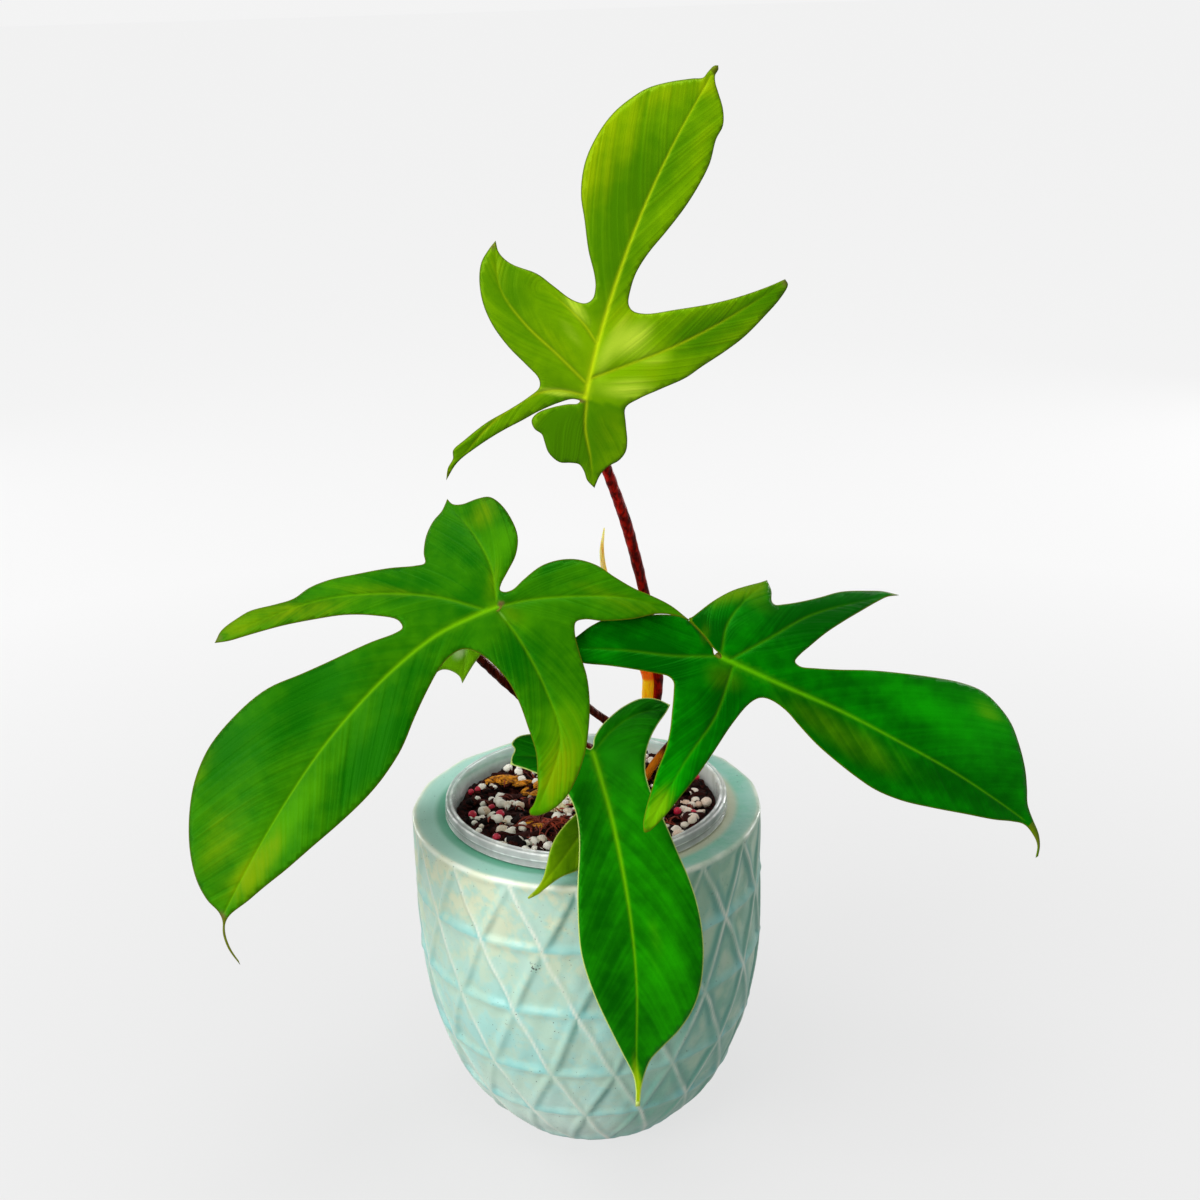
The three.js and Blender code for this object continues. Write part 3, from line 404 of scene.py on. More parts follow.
glaze, tree, skin = new_material("celadon glaze", GLAZE_ROUGHNESS, 0.36)
broad = clouds(tree, place_on_object(tree), 0.03, 3)
patchy = clouds(tree, place_on_object(tree), 0.085, 4)
fine = clouds(tree, place_on_object(tree), 0.3, 4)
height = place_axes(tree)["Z"]
sideways = place_axes(tree)["X"]
body_colour = mix_colours(tree, ramp(tree, patchy, 0.38, 0.62), CELADON, CELADON_GREY)
middle = times(tree, ramp(tree, height, 105, 75), ramp(tree, height, 20, 50, 0.35, 1.0))
blotch = plus(tree, times(tree, patchy, 1.4), times(tree, fine, 0.6))
watery = times(tree, middle, ramp(tree, blotch, 0.75, 1.2, 0.3, 1.0))
body_colour = mix_colours(tree, watery, body_colour, AQUA)
dusty = times(tree, ramp(tree, blotch, 1.15, 0.85), ramp(tree, height, 78, 122, 0.35, 1.0))
body_colour = mix_colours(tree, dusty, body_colour, BEIGE)
# Painted shade: the glaze turns a deeper green towards the right, and more steeply low down on the right, the
# side turned from the key light. Broad noise varies it.
turned_from_light = times(tree, sideways, ramp(tree, height, 60, 10, 0.011, 0.03))
shaded = plus(tree, turned_from_light, times(tree, broad, 0.5))
body_colour = mix_colours(tree, ramp(tree, shaded, 0.25, 0.85, 0.0, 0.8), body_colour, PAINTED_SHADE_CELADON)
# Painted light: the lower wall is paler at the left and front, as if lit from the pale floor.
painted_foot_light = times(tree, ramp(tree, height, 55, 15, 0.0, 0.65), ramp(tree, sideways, 25, -20))
body_colour = mix_colours(tree, painted_foot_light, body_colour, FOOT_PAINTED_LIGHT)
# Paler beige in the middle of the facets on the right: partly paler glaze, partly painted highlight on the
# shaded side.
facet_highlight = times(tree, stored(tree, "open"), ramp(tree, patchy, 0.4, 0.6, 0.1, 0.9))
body_colour = mix_colours(tree, facet_highlight, body_colour, FACET_BEIGE_HIGHLIGHT)
# Painted shade: teal streaks beside the ridges, from the middle of the front to the right.
painted_shade_streaks = times(tree, stored(tree, "shade"), ramp(tree, sideways, -35, 0, 0.15, 0.85))
painted_shade_streaks = times(tree, painted_shade_streaks, ramp(tree, patchy, 0.4, 0.6, 0.5, 1.0))
body_colour = mix_colours(tree, painted_shade_streaks, body_colour, SHADE_TEAL)
rim_colour = mix_colours(tree, ramp(tree, blotch, 0.75, 1.2), RIM_GLAZE, RIM_BLUE)
# Painted light: the rim top turns paler towards the left, which lightens the shadow the left leaf casts
# there.
rim_colour = mix_colours(tree, ramp(tree, sideways, -20, -50), rim_colour, RIM_PAINTED_LIGHT)
# The fillet under the cup's lip is deep green at the left and front, partly glaze pooled there and partly
# painted shade under the lip. It is beige at the right.
fillet_turn = plus(tree, times(tree, sideways, 0.012), broad)
fillet_colour = mix_colours(tree, ramp(tree, fillet_turn, 0.4, 0.8), FILLET_POOL_AND_SHADE, FILLET_BEIGE)
rim_colour = mix_colours(tree, stored(tree, "fillet"), rim_colour, fillet_colour)
colour = mix_colours(tree, stored(tree, "rim"), body_colour, rim_colour)
pooled = times(tree, stored(tree, "pool"), ramp(tree, blotch, 0.7, 1.3, 0.3, 0.75))
colour = mix_colours(tree, pooled, colour, POOL)
# Cream where the glaze is worn thin, partly painted light as set for the ridges above.
worn = times(tree, stored(tree, "thin"), ramp(tree, patchy, 0.35, 0.65, 0.35, 0.85))
colour = mix_colours(tree, worn, colour, CREAM)
from_cluster = tree.nodes.new("ShaderNodeVectorMath")
from_cluster.operation = "DISTANCE"
plug(tree, place_on_object(tree), from_cluster.inputs[0])
from_cluster.inputs[1].default_value = SPECK_CLUSTER
near_cluster = ramp(tree, from_cluster.outputs["Value"], 1, 4, 0.2, 0.0)
pitted = plus(tree, clouds(tree, place_on_object(tree), 1.1, 2), near_cluster)
specks = times(tree, ramp(tree, pitted, 0.72, 0.74), 0.85)
colour = mix_colours(tree, specks, colour, SPECK_DARK)
plug(tree, colour, skin.inputs["Base Color"])
add_bump(tree, skin, plus(tree, patchy, times(tree, fine, 0.35)), 0.45)
planter.data.materials.append(glaze)

# Nursery pot
# A thin clear plastic cup that stands on the planter's inner floor, vacuum formed with a rolled
# double lip and round drain holes.
CUP_FOOT = (42, 9.3)
CUP_WALL_OUT = [(0.01, 9.3), CUP_FOOT, (45.4, 40), (50.2, 84), (54.4, 130), (55.8, 136.2)]
# Radius and height on the lip, then how strongly a painted highlight line shows there.
CUP_LIP = [
    (57.3, 136.5, 0), (58.4, 136.6, 0.6), (58.7, 136.9, 1), (58.5, 137.3, 0), (58.3, 138.3, 0),
    (58.35, 139.3, 0), (58.65, 139.8, 1), (58.5, 140.3, 0), (58.4, 141.2, 0), (58.35, 141.9, 0.2),
    (58.1, 142.5, 1), (57.6, 142.7, 0.6), (57.2, 142.4, 0), (56.8, 142.3, 0), (56.5, 142.7, 0.5),
    (56.1, 143.0, 1), (55.6, 142.9, 0.5), (55.3, 142.4, 0), (55.1, 141.2, 0), (54.9, 138.4, 0),
]
CUP_WALL_IN = [(53.6, 130), (49, 84), (44.2, 40), (40.9, 10.5), (0.01, 10.5)]
CUP_PROFILE = CUP_WALL_OUT + [(radius, z) for radius, z, _ in CUP_LIP] + CUP_WALL_IN
CUP_CLEAR = (0.82, 0.87, 0.85, 1)
CUP_GREY = (0.66, 0.68, 0.67, 1)
CUP_HIGHLIGHT = (0.95, 0.95, 0.95, 1)
CUP_ALPHA = 0.42
CUP_HIGHLIGHT_ALPHA = 0.85
CUP_SIDES = 160
DRAIN_HOLES = 6
DRAIN_RADIUS = 4
DRAIN_CIRCLE = 26
DRAIN_DEPTH = 6


def level_ring(radius, z, angles):
    return np.stack([radius * np.cos(angles), radius * np.sin(angles), np.full(len(angles), z)], -1)


cup_angles = np.arange(CUP_SIDES) * 2 * math.pi / CUP_SIDES
cup_points = np.concatenate([level_ring(radius, z, cup_angles) for radius, z in CUP_PROFILE])
cup_faces = grid_faces(len(CUP_PROFILE), CUP_SIDES)
cup = make_piece("nursery_cup", cup_points, cup_faces)
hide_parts("nursery_pot")
# White lines along the curls of the rolled lip are painted highlights, where the clear plastic catches the
# light.
lip_highlight = [0] * len(CUP_WALL_OUT) + [line for _, _, line in CUP_LIP] + [0] * len(CUP_WALL_IN)
store(cup, "line", np.repeat(lip_highlight, CUP_SIDES))
for hole in range(DRAIN_HOLES):
    turn = 2 * math.pi * hole / DRAIN_HOLES
    bpy.ops.mesh.primitive_cylinder_add(
        vertices=24,
        radius=DRAIN_RADIUS * MM,
        depth=DRAIN_DEPTH * MM,
        location=(DRAIN_CIRCLE * math.cos(turn) * MM, DRAIN_CIRCLE * math.sin(turn) * MM, CUP_FOOT[1] * MM),
    )
    drill = bpy.context.object
    cut = cup.modifiers.new("drain hole", "BOOLEAN")
    cut.operation = "DIFFERENCE"
    cut.object = drill
    bpy.context.view_layer.objects.active = cup
    bpy.ops.object.modifier_apply(modifier="drain hole")
    bpy.data.objects.remove(drill)

plastic, tree, skin = new_material("clear plastic", 0.16)
haze = clouds(tree, place_on_object(tree), 0.15, 2)
plastic_colour = mix_colours(tree, ramp(tree, haze, 0.35, 0.7), CUP_CLEAR, CUP_GREY)
# Painted highlight: whiter, less clear lines along the lip's curls.
crisp_highlight = times(tree, stored(tree, "line"), ramp(tree, haze, 0.35, 0.55, 1.0, 0.5))
plug(tree, mix_colours(tree, crisp_highlight, plastic_colour, CUP_HIGHLIGHT), skin.inputs["Base Color"])
plug(tree, ramp(tree, crisp_highlight, 0.1, 0.8, CUP_ALPHA, CUP_HIGHLIGHT_ALPHA), skin.inputs["Alpha"])
cup.data.materials.append(plastic)

# Potting mix
# Loose dark bark and coir that fills the cup to 8 mm under its lip, with crumbs, orange bark chips,
# white perlite, red slow-release grains and reddish coir fibres on top.
MIX_TOP = 135.3
MIX_REACH = 54
MIX_BOTTOM = 10.9
MIX_SIDE = [(MIX_REACH, 128), (49, 84), (43.8, 40), (40.4, MIX_BOTTOM), (0.01, MIX_BOTTOM)]
MIX_COLUMNS = 150
STEM_PLACE = (20.3, 21.5)
STEM_CLEAR = 8
MIX_DARK = (0.003, 0.0008, 0.0005, 1)
MIX_BROWN = (0.035, 0.004, 0.002, 1)
CRUMB_RUST = (0.16, 0.035, 0.015, 1)
CRUMBS = 1500
BARK_BITS = 200
PERLITE = 250
RED_GRAINS = 18
FIBRES = 340
HOLLOW_PLACE = (-29, 15)
MOUND_PLACE = (27, 36)
PERLITE_WHITE = (1.0, 0.95, 0.85, 1)
PERLITE_TAN = (0.70, 0.50, 0.32, 1)
PERLITE_PINK = (0.85, 0.58, 0.44, 1)
GRAIN_RED = (0.55, 0.001, 0.02, 1)
GRAIN_PINK = (0.62, 0.01, 0.06, 1)
BARK_ORANGE = (0.95, 0.36, 0.008, 1)
BARK_BROWN = (0.1, 0.02, 0.005, 1)
FIBRE_RED = (0.38, 0.045, 0.015, 1)
FIBRE_BROWN = (0.05, 0.006, 0.004, 1)

chance = random.Random(20177)


def mix_height(x, y):
    hollow = 3.2 * np.exp(-(((x - HOLLOW_PLACE[0]) / 7) ** 2) - ((y - HOLLOW_PLACE[1]) / 5) ** 2)
    mound = 4 * np.exp(-(((x - MOUND_PLACE[0]) / 12) ** 2) - ((y - MOUND_PLACE[1]) / 8) ** 2)
    swell = 0.9 * np.sin(x * 0.21 + 1.3) * np.cos(y * 0.17)
    ripple = 0.6 * np.sin(x * 0.43 - y * 0.38)
    return MIX_TOP - hollow + mound + swell + ripple


def spot_on_mix(reach, clear=STEM_CLEAR):
    while True:
        out = reach * math.sqrt(chance.random())
        turn = 2 * math.pi * chance.random()
        x, y = out * math.cos(turn), out * math.sin(turn)
        if math.hypot(x - STEM_PLACE[0], y - STEM_PLACE[1]) > clear:
            return x, y


def lump(detail):
    """A unit ball of triangles, as points and faces."""
    bpy.ops.mesh.primitive_ico_sphere_add(subdivisions=detail, radius=1)
    ball = bpy.context.object
    points = np.array([v.co for v in ball.data.vertices])
    faces = np.array([p.vertices for p in ball.data.polygons])
    bpy.data.objects.remove(ball)
    return points, faces


def heap(name, count, detail, sizes, shape, lift, rough, reach=MIX_REACH - 2, spots=None):
    """Many small uneven lumps that lie on the mix, as one piece."""
    unit, triangles = lump(detail)
    points = []
    faces = []
    tones = []
    for i in range(count):
        size = sizes[0] + (sizes[1] - sizes[0]) * chance.random() ** 1.6
        x, y = spots[i] if spots else spot_on_mix(reach - size)
        uneven = np.array([1 + rough * (chance.random() - 0.5) for _ in unit])
        body = unit * uneven[:, None] * np.array(shape) * size
        spin = Matrix.Rotation(chance.random() * 6.3, 3, "Z") @ Matrix.Rotation(chance.gauss(0, 0.5), 3, "X")
        body = body @ np.array(spin).T
        body += [x, y, mix_height(x, y) + size * lift * (0.6 + 0.8 * chance.random())]
        faces.append(triangles + i * len(unit))
        points.append(body)
        tones.append(np.full(len(unit), chance.random()))
    piece = make_piece(name, np.concatenate(points), np.concatenate(faces))
    store(piece, "tone", np.concatenate(tones))
    return piece


def grained(name, first, second, fineness, spread, relief, roughness, specular, stretch=(1, 1, 1), detail=4):
    """A skin whose colour and relief follow one noise, from the first colour to the second."""
    material, tree, skin = new_material(name, roughness, specular)
    grain = clouds(tree, place_on_object(tree, stretch), fineness, detail)
    plug(tree, mix_colours(tree, ramp(tree, grain, *spread), first, second), skin.inputs["Base Color"])
    add_bump(tree, skin, grain, relief)
    return material


mix_angles = np.arange(MIX_COLUMNS) * 2 * math.pi / MIX_COLUMNS
mix_rings = []
for radius in np.r_[0.01, np.linspace(1.5, MIX_REACH, 36)]:
    x = radius * np.cos(mix_angles)
    y = radius * np.sin(mix_angles)
    rough = [1.3 * noise.fractal((u * 0.35, v * 0.35, 0), 1, 2, 4) for u, v in zip(x, y)]
    mix_rings.append(np.stack([x, y, mix_height(x, y) - 0.6 + np.array(rough)], -1))
mix_rings += [level_ring(radius, z, mix_angles) for radius, z in MIX_SIDE]
mix_faces = [tuple(reversed(f)) for f in grid_faces(len(mix_rings), MIX_COLUMNS)]
mix = make_piece("potting_mix_bed", np.concatenate(mix_rings), mix_faces)
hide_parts("potting_mix")

mix.data.materials.append(grained(
    "bark and coir", MIX_DARK, MIX_BROWN, fineness=0.6, detail=5, spread=(0.4, 0.65), relief=0.8,
    roughness=0.85, specular=0.1,
))

crumb_brown, tree, skin = new_material("bark crumbs", 0.8, 0.12)
grain = clouds(tree, place_on_object(tree), 1.1, 4)
tone = plus(tree, stored(tree, "tone"), times(tree, grain, 0.4))
dark = mix_colours(tree, ramp(tree, tone, 0.2, 1.0), MIX_DARK, MIX_BROWN)
rusty = mix_colours(tree, ramp(tree, tone, 1.15, 1.35), dark, CRUMB_RUST)
plug(tree, rusty, skin.inputs["Base Color"])
add_bump(tree, skin, grain, 0.4)
crumbs = heap("bark_crumbs", CRUMBS, 1, (0.7, 2.0), (1.3, 0.8, 0.7), 0.15, 0.9)
crumbs.data.materials.append(crumb_brown)
bits = heap("bark_bits", BARK_BITS, 2, (1.6, 3.6), (1.7, 0.8, 0.35), 0.25, 0.5)
bits.data.materials.append(crumb_brown)

CHIP_SPOTS = [(-41, 24), (-38, 24.5), (-35, 25), (-32, 24), (-29, 22.5), (-26, 19), (-24, 16), (-22, 14),
              (-20, 11), (-26, 24), (-21, 20), (-24, -16), (-19, -20), (30, -7), (-8, 40), (12, 38)]
chips = heap("orange_chips", len(CHIP_SPOTS), 2, (2.0, 3.0), (1.6, 0.7, 0.45), 0.6, 0.6, spots=CHIP_SPOTS)
chips.data.materials.append(grained(
    "orange bark", BARK_ORANGE, BARK_BROWN, fineness=1.0, spread=(0.35, 0.7), relief=0.5,
    roughness=0.7, specular=0.3, stretch=(0.5, 2, 1),
))

perlite_white, tree, skin = new_material("perlite", 0.75, 0.3)
grain = clouds(tree, place_on_object(tree), 1.3, 4)
tone = plus(tree, stored(tree, "tone"), times(tree, grain, 0.5))
pale = mix_colours(tree, ramp(tree, tone, 0.1, 0.6), PERLITE_TAN, PERLITE_WHITE)
# The perlite turns pinkish tan towards the right.
pinker_to_right = times(tree, ramp(tree, place_axes(tree)["X"], 15, 40), ramp(tree, tone, 0.9, 0.3, 0.3, 0.9))
plug(tree, mix_colours(tree, pinker_to_right, pale, PERLITE_PINK), skin.inputs["Base Color"])
add_bump(tree, skin, grain, 0.5)
PERLITE_SEEN = [(-43, -4), (-39, -6), (-37, 5), (-40, 9), (-32, -12), (-30, -21), (-26, -17), (-30, -29),
                (-24, -35), (-46, -14), (-27, -33), (-46, 8), (-39, 18), (-34, -32), (50, -1), (48, -9),
                (46, 7), (40, -9), (44, -18), (36, -26), (-31, -24), (-31, 3)]
perlite_spots = list(PERLITE_SEEN)
while len(perlite_spots) < PERLITE:
    x, y = spot_on_mix(MIX_REACH - 4)
    if math.hypot(x - HOLLOW_PLACE[0], y - HOLLOW_PLACE[1]) > 8:
        perlite_spots.append((x, y))
perlite = heap("perlite", PERLITE, 2, (1.0, 2.3), (1.1, 1, 0.9), 0.55, 0.25, spots=perlite_spots)
perlite.data.materials.append(perlite_white)

grain_red, tree, skin = new_material("red grains", 0.4)
grain = clouds(tree, place_on_object(tree), 1.0, 2)
plug(tree, mix_colours(tree, grain, GRAIN_RED, GRAIN_PINK), skin.inputs["Base Color"])
GRAIN_SPOTS = [(-49, 15), (-46, 16), (-47, -9), (44, -11), (47, 20)]
GRAIN_SPOTS += [spot_on_mix(MIX_REACH - 5) for _ in range(RED_GRAINS - len(GRAIN_SPOTS))]
grains = heap("red_grains", RED_GRAINS, 2, (1.4, 2.0), (1, 1, 1), 0.8, 0.15, spots=GRAIN_SPOTS)
grains.data.materials.append(grain_red)


def smooth_route(points, samples):
    """Points on the centripetal curve through the given points, evenly many on each stretch."""
    ends = np.vstack([2 * points[0] - points[1], points, 2 * points[-1] - points[-2]])
    route = []
    for a, b, c, d in zip(ends[:-3], ends[1:-2], ends[2:-1], ends[3:]):
        gaps = [max(np.linalg.norm(q - p), 1e-4) ** 0.5 for p, q in ((a, b), (b, c), (c, d))]
        start = ((b - a) / gaps[0] - (c - a) / (gaps[0] + gaps[1]) + (c - b) / gaps[1]) * gaps[1]
        end = ((c - b) / gaps[1] - (d - b) / (gaps[1] + gaps[2]) + (d - c) / gaps[2]) * gaps[1]
        t = (np.arange(samples) / samples)[:, None]
        bend = (3 * (c - b) - 2 * start - end) * t**2
        route.append(b + start * t + bend + (2 * (b - c) + start + end) * t**3)
    return np.vstack(route + [points[-1:]])


def bar_along(points, radii, sides, steps, ripple=0.0, flatten=1.0):
    """A round bar along a smooth curve: its points, faces and share of the way along."""
    route = smooth_route(np.array(points, float), 12)
    gone = np.r_[0, np.cumsum(np.linalg.norm(np.diff(route, axis=0), axis=1))]
    share = np.linspace(0, 1, steps + 1)
    at = np.stack([np.interp(share * gone[-1], gone, route[:, k]) for k in range(3)], -1)
    ahead = np.gradient(at, axis=0)
    ahead /= np.linalg.norm(ahead, axis=1)[:, None]
    side = np.cross(ahead[0], [0.3, 0.2, 1.0])
    ring_points = []
    radius = np.interp(share, np.linspace(0, 1, len(radii)), radii)
    angles = np.arange(sides) * 2 * math.pi / sides
    for i in range(steps + 1):
        side = side - ahead[i] * side.dot(ahead[i])
        side /= np.linalg.norm(side)
        other = np.cross(ahead[i], side)
        bumps = [1 + ripple * noise.noise((i * 0.31, math.cos(a) * 1.3, math.sin(a) * 1.3)) for a in angles]
        out = np.array(bumps) * radius[i]
        ring_points.append(
            at[i] + (out * np.cos(angles))[:, None] * side + (out * flatten * np.sin(angles))[:, None] * other
        )
    faces = grid_faces(steps + 1, sides)
    faces += [tuple(reversed(range(sides))), tuple(steps * sides + j for j in range(sides))]
    return np.concatenate(ring_points), faces, np.repeat(share, sides)


fibre_points = []
fibre_faces = []
fibre_tones = []
for i in range(FIBRES):
    x, y = spot_on_mix(MIX_REACH - 9)
    if i % 3 == 0:
        x, y = -17 + chance.gauss(0, 5), -16 + chance.gauss(0, 4)
    turn = chance.random() * 6.3
    length = 4 + 9 * chance.random()
    arch = 1.5 * chance.random()
    route = []
    for t in np.linspace(-0.5, 0.5, 5):
        u = x + math.cos(turn) * length * t + 3 * arch * t * t
        v = y + math.sin(turn) * length * t - 3 * arch * t * t
        route.append((u, v, mix_height(u, v) + 0.7 + arch * (1 - 4 * t * t)))
    thick = 0.2 + 0.35 * chance.random() ** 2
    fibre, faces, _ = bar_along(route, [thick / 2, thick, thick, thick / 2], 5, 8)
    fibre_faces += [tuple(f + len(fibre) * i for f in face) for face in faces]
    fibre_points.append(fibre)
    fibre_tones.append(np.full(len(fibre), chance.random()))
fibres = make_piece("coir_fibres", np.concatenate(fibre_points), fibre_faces)
store(fibres, "tone", np.concatenate(fibre_tones))
coir, tree, skin = new_material("coir", 0.6, 0.3)
plug(tree, mix_colours(tree, stored(tree, "tone"), FIBRE_BROWN, FIBRE_RED), skin.inputs["Base Color"])
fibres.data.materials.append(coir)

# Top leaf
# An upright young blade, thin and leathery, with a drop-shaped middle lobe; the lobe at its lower
# left lies in front of the one that hides the petiole. A blade grows flat from the joint with its
# petiole: x is to its right and y along its midrib, in millimetres.
BLADE_THICK = 0.62
BLADE_EDGE = 0.3
FOLD_HEIGHT = 0.1
FOLD_REACH = 12
BLADE_PITCH = 1.7
DRY_BROWN = (0.13, 0.085, 0.03, 1)
# The next colour is painted shade for the grooves along the side veins.
GROOVE_SHADE = (0.3, 0.45, 0.3, 1)
UNSPOTTED = {"highlight_spots": [], "dry_spots": [], "overlap_shadows": []}


def lobe_drop(leaf, x, y):
    """How far each lobe curves back from the flat blade."""
    out = np.hypot(x, y)
    heading = np.arctan2(x, y)
    weight = 0
    height = 0
    for turn, reach, drop in leaf["bends"]:
        share = np.exp(leaf["spread"] * (np.cos(heading - math.radians(turn)) - 1))
        weight = weight + share
        height = height - share * drop * (out / reach) ** 2
    return height / weight


def vein_places(leaf, x, y):
    """For each vein: how far a point is from it, how far along it that is, and the vein's length."""
    found = []
    for route in leaf["routes"]:
        start = route[:-1]
        step = route[1:] - start
        span = np.maximum((step**2).sum(1), 1e-9)
        gone = np.r_[0, np.cumsum(np.sqrt(span))]
        gap_x = x[:, None] - start[:, 0]
        gap_y = y[:, None] - start[:, 1]
        t = np.clip((gap_x * step[:, 0] + gap_y * step[:, 1]) / span, 0, 1)
        gap = np.hypot(gap_x - t * step[:, 0], gap_y - t * step[:, 1])
        k = gap.argmin(1)
        rows = np.arange(len(x))
        along = gone[k] + t[rows, k] * np.sqrt(span[k])
        found.append((gap[rows, k], along, gone[-1]))
    return found


def blade_height(leaf, x, y, places):
    gaps = np.array([np.maximum(p[0], 1e-3) for p in places])
    near = (gaps**-4).sum(0) ** -0.25
    rise = FOLD_HEIGHT * FOLD_REACH * (1 - np.exp(-near / FOLD_REACH))
    wave = leaf["wave"] * np.sin(0.11 * y + 0.07 * x + leaf["phase"]) * np.minimum(1, near / 15)
    return lobe_drop(leaf, x, y) + rise + wave


def blade_outline(leaf):
    return np.vstack([smooth_route(np.array(margin, float), 5)[:-1] for margin in leaf["margins"]])


def outline_gap(outline, x, y):
    """The distance to the outline, and whether a point is inside it."""
    start = outline
    end = np.roll(outline, -1, axis=0)
    step = end - start
    span = np.maximum((step**2).sum(1), 1e-9)
    gaps = []
    inside = []
    for block in np.array_split(np.arange(len(x)), max(1, len(x) // 1500)):
        gap_x = x[block, None] - start[:, 0]
        gap_y = y[block, None] - start[:, 1]
        t = np.clip((gap_x * step[:, 0] + gap_y * step[:, 1]) / span, 0, 1)
        gaps.append(np.hypot(gap_x - t * step[:, 0], gap_y - t * step[:, 1]).min(1))
        above = (start[:, 1] > y[block, None]) != (end[:, 1] > y[block, None])
        rise = np.where(np.abs(step[:, 1]) < 1e-9, 1e-9, step[:, 1])
        crossing = start[:, 0] + step[:, 0] * gap_y / rise
        inside.append(((x[block, None] < crossing) & above).sum(1) % 2 == 1)
    return np.concatenate(gaps), np.concatenate(inside)


def blade_grid(leaf, outline):
    """Points inside the outline: an even grid, and close rows along the veins."""
    low = outline.min(0)
    high = outline.max(0)
    spots = []
    for row, y in enumerate(np.arange(low[1], high[1], BLADE_PITCH * 0.87)):
        x = np.arange(low[0] + (row % 2) * BLADE_PITCH / 2, high[0], BLADE_PITCH)
        spots.append(np.stack([x, np.full_like(x, y)], -1))
    spots = np.vstack(spots)
    gap, inside = outline_gap(outline, spots[:, 0], spots[:, 1])
    near = np.min([p[0] for p in vein_places(leaf, spots[:, 0], spots[:, 1])], axis=0)
    spots = spots[inside & (gap > 0.55 * BLADE_PITCH) & (near > 1.9)]
    rows = []
    for route in leaf["routes"]:
        gone = np.r_[0, np.cumsum(np.linalg.norm(np.diff(route, axis=0), axis=1))]
        even = np.linspace(0, gone[-1], int(gone[-1] / 1.3) + 2)
        line = np.stack([np.interp(even, gone, route[:, k]) for k in range(2)], -1)
        ahead = np.gradient(line, axis=0)
        ahead /= np.linalg.norm(ahead, axis=1)[:, None]
        side = np.stack([ahead[:, 1], -ahead[:, 0]], -1)
        rows += [line + side * offset for offset in (-1.3, -0.75, -0.35, 0, 0.35, 0.75, 1.3)]
    rows = np.vstack(rows)
    gap, inside = outline_gap(outline, rows[:, 0], rows[:, 1])
    rows = rows[inside & (gap > 0.5)]
    kept = []
    taken = set()
    for x, y in rows:
        cell = (round(x / 0.33), round(y / 0.33))
        if cell not in taken:
            taken.add(cell)
            kept.append((x, y))
    return np.vstack([spots, kept])


def blade_surface(leaf, x, y):
    """The middle of the blade in space, with its upward normal."""
    along = Vector(leaf["along"]).normalized()
    right = along.cross(Vector(leaf["faces"])).normalized()
    up = right.cross(along)
    axes = np.array([right, along, up])

    def at(u, v):
        height = blade_height(leaf, u, v, vein_places(leaf, u, v))
        return np.array(leaf["joint"]) + np.stack([u, v, height], -1) @ axes

    h = 0.4
    normal = np.cross(at(x + h, y) - at(x - h, y), at(x, y + h) - at(x, y - h))
    return at(x, y), normal / np.linalg.norm(normal, axis=1)[:, None]


def vein_relief(leaf, places):
    """How pale, grooved, creased above and ribbed below each point is by the veins near it."""
    vein, groove, crease, rib = np.zeros((4, len(places[0][0])))
    for i, (off, along, length) in enumerate(places):
        taper = np.clip(1 - along / length, 0, 1)
        if i == 0:
            vein = leaf["rib_show"] * (0.4 + 0.6 * taper) * np.exp(-((off / (0.3 + 0.75 * taper**1.5)) ** 2))
        else:
            show = leaf["vein_show"] * smooth_step(0.0, 0.6, taper)
            vein = np.maximum(vein, show * np.exp(-((off / (0.3 + 0.3 * taper)) ** 2)))
            fold = np.exp(-(((off - 0.2) / (0.35 + 0.35 * taper)) ** 2)) * smooth_step(0.1, 0.7, taper)
            groove = np.maximum(groove, leaf["crease_show"] * fold)
        sink = 0.2 if i == 0 else 0.45 * taper**0.5
        crease = np.maximum(crease, sink * np.exp(-((off / (0.5 + 0.5 * taper)) ** 2)))
        swell = 0.9 if i == 0 else 0.5
        rib = np.maximum(rib, swell * taper**0.5 * np.exp(-((off / (0.6 + 0.6 * taper)) ** 2)))
    return vein, groove, crease, rib


def sheet_faces(x, y, triangles):
    """The faces of a closed sheet, whose underside repeats the points of its upper side."""
    count = len(x)
    faces = []
    for a, b, c in triangles:
        turn = (x[b] - x[a]) * (y[c] - y[a]) - (y[b] - y[a]) * (x[c] - x[a])
        face = (a, b, c) if turn > 0 else (a, c, b)
        faces.append(face)
        faces.append(tuple(i + count for i in reversed(face)))
    edges = {}
    for face in faces[::2]:
        for edge in zip(face, face[1:] + face[:1]):
            edges[edge] = True
    return faces + [(b, a, a + count, b + count) for a, b in edges if (b, a) not in edges]


